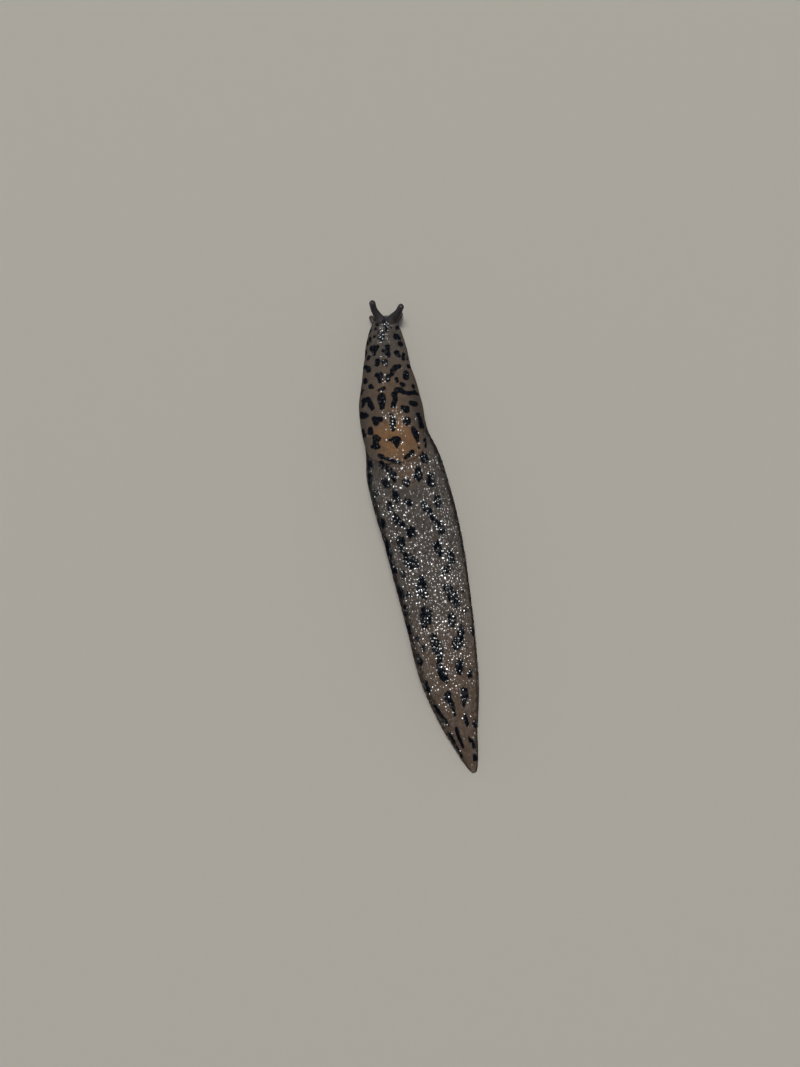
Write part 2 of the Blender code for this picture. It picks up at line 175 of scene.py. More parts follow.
def columnAt(column, back):  # one column of the stations, on a smooth curve through them
    rows = np.array(body["stations"])
    at, value = rows[:, 0], rows[:, column]
    every = np.arange(len(at))
    before, after = np.maximum(every - 1, 0), np.minimum(every + 1, every[-1])
    slope = (value[after] - value[before]) / (at[after] - at[before])
    back = np.clip(back, at[0], at[-1])
    i = np.clip(np.searchsorted(at, back, side="right") - 1, 0, len(at) - 2)
    span = at[i + 1] - at[i]
    t = (back - at[i]) / span
    start = value[i] * (1 + 2 * t) + slope[i] * span * t
    end = value[i + 1] * (3 - 2 * t) + slope[i + 1] * span * (t - 1)
    return start * (1 - t) ** 2 + end * t * t


def midlineAt(back):  # place on the floor and the direction of the animal's right
    step = 0.05
    ahead, behind = np.maximum(back - step, 0), np.minimum(back + step, body["stations"][-1][0])
    drift, run = columnAt(1, behind) - columnAt(1, ahead), behind - ahead
    size = np.hypot(drift, run)
    return columnAt(1, back), body["browY"] - back, run / size, drift / size


def footPoint(back, r, half, thick):  # a rounded fringe and a flat sole with two grooves
    nose = progress(back, body["footFront"], body["footFront"] + body["footNose"])
    footHalf = body["footShare"] * half * np.sqrt(1 - body["footTaper"] * (1 - nose) ** 2)
    lip = thick / 2
    turn = progress(r, flankEnd, fringeEnd) * math.pi
    across, up = footHalf - lip + lip * np.sin(turn), lip + lip * np.cos(turn)
    soleAcross = (footHalf - lip) * np.interp(progress(r, fringeEnd, 1), *body["solePath"])
    groove = (soleAcross / footHalf - body["soleGrooveAt"]) / body["soleGrooveWidth"]
    soleUp = body["soleGrooveDepth"] * thick * np.exp(-(groove**2))
    onSole = r > fringeEnd
    return np.where(onSole, soleAcross, across), np.where(onSole, soleUp, up)


def ringPoint(back, ring):  # across and up, on one ring of the skin
    half, top = columnAt(2, back) / 2, columnAt(3, back)
    thick = np.minimum(body["footThickness"], body["footHeightShare"] * top)
    belly = thick + body["crease"]
    belly = belly + body["snoutLift"] * (1 - ramp(back, 0, body["snoutLiftLength"]))
    widest = belly + body["widestShare"] * (top - belly)
    r = np.abs(ring)

    turn = progress(r, 0, archEnd) * math.pi / 2
    power = 2 / body["fullness"]
    across = half * np.sin(turn) ** power
    up = widest + (top - widest) * np.maximum(np.cos(turn), 0) ** power
    keel = between(back, *body["keelEnds"])
    up = up + body["keelHeight"] * keel * np.exp(-((across / body["keelHalfWidth"]) ** 2))

    turn = progress(r, archEnd, flankEnd) * math.pi / 2
    onFlank = r > archEnd
    across = np.where(onFlank, half * mix(body["bellyShare"], 1, np.cos(turn)), across)
    up = np.where(onFlank, mix(widest, belly, np.sin(turn)), up)

    footAcross, footUp = footPoint(back, r, half, thick)
    present = ramp(back, *body["footGrows"])
    underHead = half * body["bellyShare"] * (1 - r) / (1 - flankEnd)
    onFoot = r > flankEnd
    across = np.where(onFoot, mix(underHead, footAcross, present), across)
    up = np.where(onFoot, mix(belly, footUp, present), up)
    return np.sign(ring) * across, up


def skinPoint(back, ring):
    x, y, rightX, rightY = midlineAt(back)
    across, up = ringPoint(back, ring)
    return np.stack([x + rightX * across, y + rightY * across, up], -1)


def skinNormal(back, ring):  # from the places a little way along and round
    along = skinPoint(back + 0.15, ring) - skinPoint(back - 0.15, ring)
    around = skinPoint(back, ring + 0.004) - skinPoint(back, ring - 0.004)
    normal = np.cross(along, around)
    return normal / np.maximum(np.linalg.norm(normal, axis=-1, keepdims=True), 1e-9)


def makeArcTable():  # length of skin from the ridge of the back out to each point of a ring
    backs = np.linspace(0, body["end"], 200)
    rings = np.linspace(0, 1, 300)
    across, up = ringPoint(backs[:, None], rings[None, :] + 1e-9)
    steps = np.hypot(np.diff(across, axis=1), np.diff(up, axis=1))
    return np.concatenate([np.zeros((len(backs), 1)), np.cumsum(steps, axis=1)], axis=1)


arcTable = makeArcTable()


def arcAt(back, ring):
    rows, columns = arcTable.shape
    x = np.clip(np.abs(ring), 0, 1) * (columns - 1)
    y = np.clip(back / body["end"], 0, 1) * (rows - 1)
    i, j = np.minimum(y.astype(int), rows - 2), np.minimum(x.astype(int), columns - 2)
    low = mix(arcTable[i, j], arcTable[i, j + 1], x - j)
    high = mix(arcTable[i + 1, j], arcTable[i + 1, j + 1], x - j)
    return np.sign(ring) * mix(low, high, y - i)


# Tubercles: long cells in staggered rows that run from the neck to the tail

tubercles = dict(
    rows=18,  # from the ridge of the back to the widest line, on each side
    length=0.5,
    lengthShare=0.07,  # of the body's width, added to length
    height=0.27,  # on a row 0.95 mm wide, and less on narrower ones
    rowWidth=0.95,
    sunk=1.15,  # of the height, so that the tops come level with the smooth form
    unevenness=0.2,
    groove=0.30,
    wobbleAcross=(0.3, 4, 3, 3),  # strength, length, width and seed
    wobbleAlong=(0.3, 5, 2.5, 5),
    shift=(0.5, 0.25),  # of every other row, and by chance
    jitter=(0.17, 0.15),
    dome=0.55,
    domeReach=0.75,
    headStart=(0.5, 2.5),
    tailFade=3.0,
    flankFade=(flankEnd - 0.03, flankEnd),
)
folds = dict(  # upright, on the foot's fringe
    length=1.15,
    wander=(2.2, 3, 1, 8),
    depth=0.07,
    ends=((4, 8), (124, 131)),  # back from the brow
    band=((flankEnd - 0.01, flankEnd + 0.02), (fringeEnd - 0.02, fringeEnd)),
)
stepsAlong = np.linspace(0, body["end"], 600)
cellLengths = tubercles["length"] + tubercles["lengthShare"] * columnAt(2, stepsAlong)
cellsAlong = np.concatenate([[0], np.cumsum(np.diff(stepsAlong) / cellLengths[1:])])


def tubercleField(back, arc):
    # Height of the skin from 0 in a groove to 1, a number for each tubercle, and the way to its middle
    rowWidth = arcAt(back, archEnd + 0 * back) / tubercles["rows"]
    across = arc / rowWidth + waver(back, arc, *tubercles["wobbleAcross"])
    along = np.interp(back, stepsAlong, cellsAlong) + waver(back, arc, *tubercles["wobbleAlong"])
    near = []
    for row in (-1, 0, 1):
        j = np.floor(across) + row
        shift = tubercles["shift"][0] * (j % 2) + tubercles["shift"][1] * chance(j, 0, 11)
        for cell in (-1, 0, 1):
            i = np.floor(along + shift) + cell
            awayAlong = i + 0.5 - shift + tubercles["jitter"][0] * chance(i, j, 1) - along
            awayAcross = j + 0.5 + tubercles["jitter"][1] * chance(i, j, 2) - across
            near.append((np.hypot(awayAlong, awayAcross), awayAlong, awayAcross, chance(i, j, 4)))
    near, every = np.array(near), np.arange(len(back))
    first, second = near[:, 0].argsort(axis=0)[:2]
    nearest, toAlong, toAcross, lot = near[first, :, every].T
    edge = progress(near[second, 0, every] - nearest, 0, tubercles["groove"])
    dome = 1 - tubercles["dome"] * progress(nearest, 0, tubercles["domeReach"]) ** 2
    height = np.sin(edge * math.pi / 2) * dome
    lengths = np.interp(back, stepsAlong, cellLengths)
    return height, lot, toAlong * lengths, toAcross * rowWidth, rowWidth


def bodyRelief(back, ring):  # how far the skin stands from the smooth form, in millimetres
    height, lot, _, _, rowWidth = tubercleField(back, arcAt(back, ring))
    r = np.abs(ring)
    depth = tubercles["height"] * rowWidth / tubercles["rowWidth"]
    present = between(back, tubercles["headStart"], (body["end"] - tubercles["tailFade"], body["end"]))
    present = present * (1 - ramp(r, *tubercles["flankFade"]))
    relief = present * depth * (height * (1 + tubercles["unevenness"] * lot) - tubercles["sunk"])
    present = between(r, *folds["band"]) * between(back, *folds["ends"])
    waves = np.sin(back * 2 * math.pi / folds["length"] + waver(back, r * 0, *folds["wander"]))
    return relief + present * folds["depth"] * (waves - 1)


# Each patch of skin has its own corner of one map, so a place on the map tells the place on the slug

maps = dict(
    body=(0.01, 0.005, 0.60, 0.995),  # left, bottom, right, top
    mantle=(0.63, 0.01, 0.98, 0.36),
    upperLeft=(0.63, 0.40, 0.72, 0.56),
    upperRight=(0.74, 0.40, 0.83, 0.56),
    lowerLeft=(0.63, 0.60, 0.70, 0.68),
    lowerRight=(0.74, 0.60, 0.81, 0.68),
    lipLeft=(0.85, 0.60, 0.91, 0.68),
    lipRight=(0.92, 0.60, 0.98, 0.68),
)
smallNames = list(maps)[2:]


def placeBody(x, y):  # from the grid, -1 to 1 both ways, to back, ring and the turn that closes the ends
    v = (1 - y) / 2
    snout, tail = body["snoutRows"], 1 - body["snoutRows"]
    back = np.interp(v, (snout, snout + body["headShare"], tail), (0, body["headLength"], body["end"]))
    closing = np.maximum(snout - v, v - tail) / snout
    return back, x, np.clip(closing, 0, 1) * math.pi / 2


def bodyPoints(x, y):
    back, ring, closing = placeBody(x, y)
    points = skinPoint(back, ring)
    points += skinNormal(back, ring) * (bodyRelief(back, ring) * np.cos(closing))[:, None]
    middleX, middleY, rightX, rightY = midlineAt(back)
    belly = ringPoint(back, back * 0 + flankEnd)[1]
    middle = np.stack([middleX, middleY, (columnAt(3, back) + belly) / 2], -1)
    forwards = np.where(back < 1, body["snoutBulge"], -body["tailBulge"]) * np.sin(closing)
    points = middle + (points - middle) * np.cos(closing)[:, None]
    points[:, 0] -= forwards * rightY
    points[:, 1] += forwards * rightX
    points[:, 2] = np.maximum(points[:, 2], 0)
    return points


# Mantle: a fold of skin over the trunk with a free, rounded rim

mantle = dict(
    front=9.3,
    rear=42.9,
    leftTurn=88.0,  # degrees round the back
    rightTurn=72.0,
    turnPerMillimetre=5.6,
    frontSquareness=2.7,
    rearSquareness=1.9,
    proud=0.55,
    waveDepth=0.05,
    waveSink=0.7,  # of their depth
    waves=(1, 3.5, 3.0, 21),  # strength, length, width and seed
    rimShare=0.93,  # of the grid, from its middle, that lies on top
    rimOut=(0.0, 0.14, 0.22, 0.2, 0.05, -0.2),  # the rim's path outwards and down
    rimUp=(0.0, -0.06, -0.22, -0.45, -0.8, -1.15),
    rows=150,
    columns=120,
    core=(26.0, 5.0),  # where its shell closes inside the body: back, and depth under the skin
    pore=(36.5, 54.0),  # back and turn
    poreSize=(1.2, 0.6),
    poreDepth=0.75,
    poreRim=(0.22, 1.9, 0.35),  # height, radius and softness, the last two in sizes of the pore
    ridgeMiddle=(33.0, 0.4),  # of the rings of fine ridges
    ridgeShare=0.72,  # of their width to their length
    ridgeWander=(0.5, 3, 3, 41),
)


def ringOfTurn(turn):  # on the arch up to 90 degrees, and on the flank beyond
    over = np.maximum(np.abs(turn) - 90, 0) / 50 * (flankEnd - archEnd)
    return np.sign(turn) * (np.minimum(np.abs(turn), 90) / 90 * archEnd + over)


def placeMantle(x, y):
    reach = np.maximum(np.maximum(np.abs(x), np.abs(y)), 1e-9)
    rim = progress(reach, mantle["rimShare"], 1)
    inner = np.minimum(reach / mantle["rimShare"], 1) / reach
    x, y = x * inner, y * inner
    # From the square grid to a disc, then to a disc with fuller corners
    wide, long = x * np.sqrt(1 - y * y / 2), y * np.sqrt(1 - x * x / 2)
    radius = np.maximum(np.hypot(wide, long), 1e-9)
    power = np.where(long > 0, mantle["frontSquareness"], mantle["rearSquareness"])
    fuller = (np.abs(wide) / radius) ** power + (np.abs(long) / radius) ** power
    fuller = np.maximum(fuller, 0.1) ** (-1 / power)
    steps = np.linspace(0, 1, len(mantle["rimOut"]))
    out, drop = np.interp(rim, steps, mantle["rimOut"]), np.interp(rim, steps, mantle["rimUp"])
    halfLength = (mantle["rear"] - mantle["front"]) / 2
    back = (mantle["front"] + mantle["rear"]) / 2 - long * fuller * (halfLength + out)
    side = np.where(wide > 0, mantle["rightTurn"], mantle["leftTurn"])
    turn = wide * fuller * (side + out * mantle["turnPerMillimetre"])
    return back, ringOfTurn(turn), drop


def mantlePoints(x, y):
    back, ring, drop = placeMantle(x, y)
    arc = arcAt(back, ring)
    waves = waver(back, arc, *mantle["waves"]) - mantle["waveSink"]
    rise = mantle["proud"] + drop + mantle["waveDepth"] * waves
    poreBack, poreTurn = mantle["pore"]
    poreArc = arcAt(np.array([poreBack]), ringOfTurn(np.array([poreTurn])))[0]
    away = np.hypot((back - poreBack) / mantle["poreSize"][0], (arc - poreArc) / mantle["poreSize"][1])
    rimHeight, rimRadius, softness = mantle["poreRim"]
    rise = rise - mantle["poreDepth"] * np.exp(-(away**2))
    rise = rise + rimHeight * np.exp(-((away - rimRadius) ** 2) / softness)
    return skinPoint(back, ring) + skinNormal(back, ring) * rise[:, None]


# Tentacles: centre lines from the root to the tip, in the frame, and radii

tentacles = dict(
    upperLeft=[(-11.0, 63.7, 4.2), (-12.05, 65.0, 5.6), (-13.0, 66.25, 7.3), (-13.45, 67.5, 9.3)],
    upperRight=[(-8.5, 63.7, 4.2), (-7.45, 64.65, 5.6), (-6.15, 65.5, 7.4), (-5.35, 66.6, 9.0)],
    lowerLeft=[(-12.3, 63.0, 2.9), (-13.3, 64.2, 2.6), (-14.0, 65.35, 2.1)],
    lowerRight=[(-7.0, 63.1, 2.9), (-6.5, 64.5, 2.6), (-5.35, 66.4, 2.1)],
    upperRadii=(1.65, 0.9, 0.9),  # root, waist, bulb
    lowerRadii=(1.25, 0.76, 0.68),
    flare=2.5,
    bulbStart=(0.75, 0.95),
    wrinkleDepth=0.035,
    wrinkleTurns=60,
    wrinkleEnds=((0.1, 0.3), (0.6, 0.8)),
    columns=28,
    rows=44,
    rootShare=0.06,
    domeShare=0.80,
)
lips = dict(radii=(1.2, 1.2, 0.95), side=1.1, back=0.75, height=2.95, columns=28, rows=18)


def smoothLine(points, t):  # Catmull-Rom through the points, t from 0 to 1
    spots = np.array(points)
    last = len(spots) - 1
    place = np.clip(t, 0, 1) * last
    i = np.minimum(place.astype(int), last - 1)
    u = (place - i)[:, None]
    before, here, there = spots[np.maximum(i - 1, 0)], spots[i], spots[i + 1]
    after = spots[np.minimum(i + 2, last)]
    curve = 2 * here + (there - before) * u
    curve = curve + (2 * before - 5 * here + 4 * there - after) * u**2
    return 0.5 * (curve + (3 * here - before - 3 * there + after) * u**3)


def tentaclePoints(name, x, y):
    path = tentacles[name]
    root, waist, bulb = tentacles["upperRadii" if "upper" in name else "lowerRadii"]
    v = (1 - y) / 2
    t = progress(v, tentacles["rootShare"], tentacles["domeShare"])
    radius = waist + (root - waist) * (1 - t) ** tentacles["flare"]
    radius = radius + (bulb - waist) * ramp(t, *tentacles["bulbStart"])
    opening = progress(v, 0, tentacles["rootShare"])
    dome = progress(v, tentacles["domeShare"], 1) * math.pi / 2
    wrinkles = np.sin(t * tentacles["wrinkleTurns"]) * between(t, *tentacles["wrinkleEnds"])
    radius = (radius + tentacles["wrinkleDepth"] * wrinkles) * opening * np.cos(dome)
    centre = smoothLine(path, t)
    further = np.minimum(t + 0.02, 1)
    ahead = smoothLine(path, further) - smoothLine(path, further - 0.02)
    ahead = ahead / np.linalg.norm(ahead, axis=1, keepdims=True)
    side = np.cross(ahead, (0, 0, 1.0))
    side = side / np.linalg.norm(side, axis=1, keepdims=True)
    over = np.cross(side, ahead)
    turn = x * math.pi
    points = centre + ahead * (bulb * np.sin(dome))[:, None]
    return points + (side * np.cos(turn)[:, None] + over * np.sin(turn)[:, None]) * radius[:, None]


def lipPoints(name, x, y):
    turn, rise = x * math.pi, y * math.pi / 2
    ball = np.stack([np.cos(turn) * np.cos(rise), np.sin(turn) * np.cos(rise), np.sin(rise)], -1)
    middleX, middleY, rightX, rightY = (values[0] for values in midlineAt(np.array([lips["back"]])))
    aside = lips["side"] if name == "lipRight" else -lips["side"]
    return ball * lips["radii"] + (middleX + aside * rightX, middleY + aside * rightY, lips["height"])


def patchPoints(name, x, y):
    if name in ("body", "mantle"):
        return (bodyPoints if name == "body" else mantlePoints)(x, y)
    return (lipPoints if "lip" in name else tentaclePoints)(name, x, y)


# Skin patches become one closed mesh

seams = dict(aheadOf=60.0, rings=5, passes=14)  # the head's creases, and how widely they are smoothed


def makePatch(name, sizes, wraps=True):
    # A grid that is bent to its place. Its corner of the map is taken from the flat grid.
    bm = bmesh.new()
    bmesh.ops.create_grid(bm, x_segments=sizes["columns"], y_segments=sizes["rows"], size=1.0)
    mesh = meshOf(bm, name)
    flat = np.empty(len(mesh.vertices) * 3)
    mesh.vertices.foreach_get("co", flat)
    flat = flat.reshape(-1, 3)
    corners = np.empty(len(mesh.loops), int)
    mesh.loops.foreach_get("vertex_index", corners)
    left, bottom, right, top = maps[name]
    onMap = (flat[corners, :2] + 1) / 2 * (right - left, top - bottom) + (left, bottom)
    mesh.uv_layers.new(name="OFBake").data.foreach_set("uv", onMap.ravel())
    points = patchPoints(name, flat[:, 0], flat[:, 1])
    mesh.vertices.foreach_set("co", (points * mm).ravel())

    bm = bmesh.new()
    bm.from_mesh(mesh)
    if wraps:  # the two long edges and the ends meet
        bmesh.ops.remove_doubles(bm, verts=bm.verts, dist=1e-7)
    else:  # the rim is drawn together inside the body, which closes the shell
        rim = [edge for edge in bm.edges if edge.is_boundary]
        drawn = bmesh.ops.extrude_edge_only(bm, edges=rim)["geom"]
        inside = [v for v in drawn if isinstance(v, bmesh.types.BMVert)]
        coreBack, coreDepth = mantle["core"]
        overCore = skinPoint(np.array([coreBack]), np.array([0.0]))[0] * mm
        core = Vector(overCore) - Vector((0, 0, coreDepth * mm))
        bmesh.ops.pointmerge(bm, verts=inside, merge_co=core)
    bmesh.ops.dissolve_degenerate(bm, edges=bm.edges, dist=1e-8)
    bmesh.ops.recalc_face_normals(bm, faces=bm.faces)
    bm.to_mesh(mesh)
    bm.free()
    return addObject(name, mesh)


def joinPatches(skin, patches):
    group = bpy.data.collections.new("patches")
    for patch in patches:
        scene.collection.objects.unlink(patch)
        group.objects.link(patch)
    scene.collection.children.link(group)
    join = skin.modifiers.new("Join", "BOOLEAN")
    join.operation = "UNION"
    join.solver = "MANIFOLD"
    join.operand_type = "COLLECTION"
    join.collection = group
    graph = bpy.context.evaluated_depsgraph_get()
    joined = bpy.data.meshes.new_from_object(skin.evaluated_get(graph))
    skin.modifiers.clear()
    skin.data = joined
    for patch in patches:
        bpy.data.objects.remove(patch)
    bpy.data.collections.remove(group)


def patchOf(u, v):  # number of the patch that a place on the map belongs to
    number = np.zeros(u.shape, int)
    for i, (left, bottom, right, top) in enumerate(maps.values()):
        inside = (u > left - 0.005) & (u < right + 0.005) & (v > bottom - 0.005) & (v < top + 0.005)
        number[inside] = i
    return number


def blendSeams(skin):  # rounds the creases where tentacles and lips leave the head
    bm = bmesh.new()
    bm.from_mesh(skin.data)
    uv = bm.loops.layers.uv["OFBake"]
    bodyRight, mantleTop = maps["body"][2] + 0.01, maps["mantle"][3] + 0.01
    crease = set()
    for vert in bm.verts:
        if vert.co.y < seams["aheadOf"] * mm:
            continue
        spots = [loop[uv].uv for loop in vert.link_loops]
        small = [spot.x > bodyRight and spot.y > mantleTop for spot in spots]
        if any(small) and not all(small):
            crease.add(vert)
    for _ in range(seams["rings"]):
        crease |= {edge.other_vert(vert) for vert in crease for edge in vert.link_edges}
    axes = dict(use_axis_x=True, use_axis_y=True, use_axis_z=True)
    for _ in range(seams["passes"]):
        bmesh.ops.smooth_vert(bm, verts=list(crease), factor=0.5, **axes)
    bmesh.ops.triangulate(bm, faces=[face for face in bm.faces if len(face.verts) > 4])
    bm.to_mesh(skin.data)
    bm.free()


# Camera, as the photo was taken: straight down from about 24 cm

view = dict(x=-5.6, y=2.1, height=237.6, lens=27.1, sensor=36.0, width=800, tall=1067)
focal = view["lens"] / view["sensor"] * view["tall"]
unit = view["height"] / focal * 0.96  # millimetres for one unit of the picture, on the back


def fromPicture(x, y):  # back and ring of the place on the skin that the camera sees there
    up = np.full(x.shape, 12.0)  # a first guess, made better in each round
    for _ in range(8):
        reach = (view["height"] - up) / focal
        placeX = view["x"] + (x - view["width"] / 2) * reach
        placeY = view["y"] + (view["tall"] / 2 - y) * reach
        back = np.clip(body["browY"] - placeY, 0, body["end"])
        for _again in range(5):
            middleX, middleY, rightX, rightY = midlineAt(back)
            back = np.clip(back + (placeX - middleX) * rightY - (placeY - middleY) * rightX, 0, body["end"])
        middleX, middleY, rightX, rightY = midlineAt(back)
        across = (placeX - middleX) * rightX + (placeY - middleY) * rightY
        share = np.clip(np.abs(across) / (columnAt(2, back) / 2), 0, 0.985)
        ring = np.sign(across) * np.arcsin(share ** (body["fullness"] / 2)) / (math.pi / 2) * archEnd
        up = ringPoint(back, ring)[1]
    return back, ring
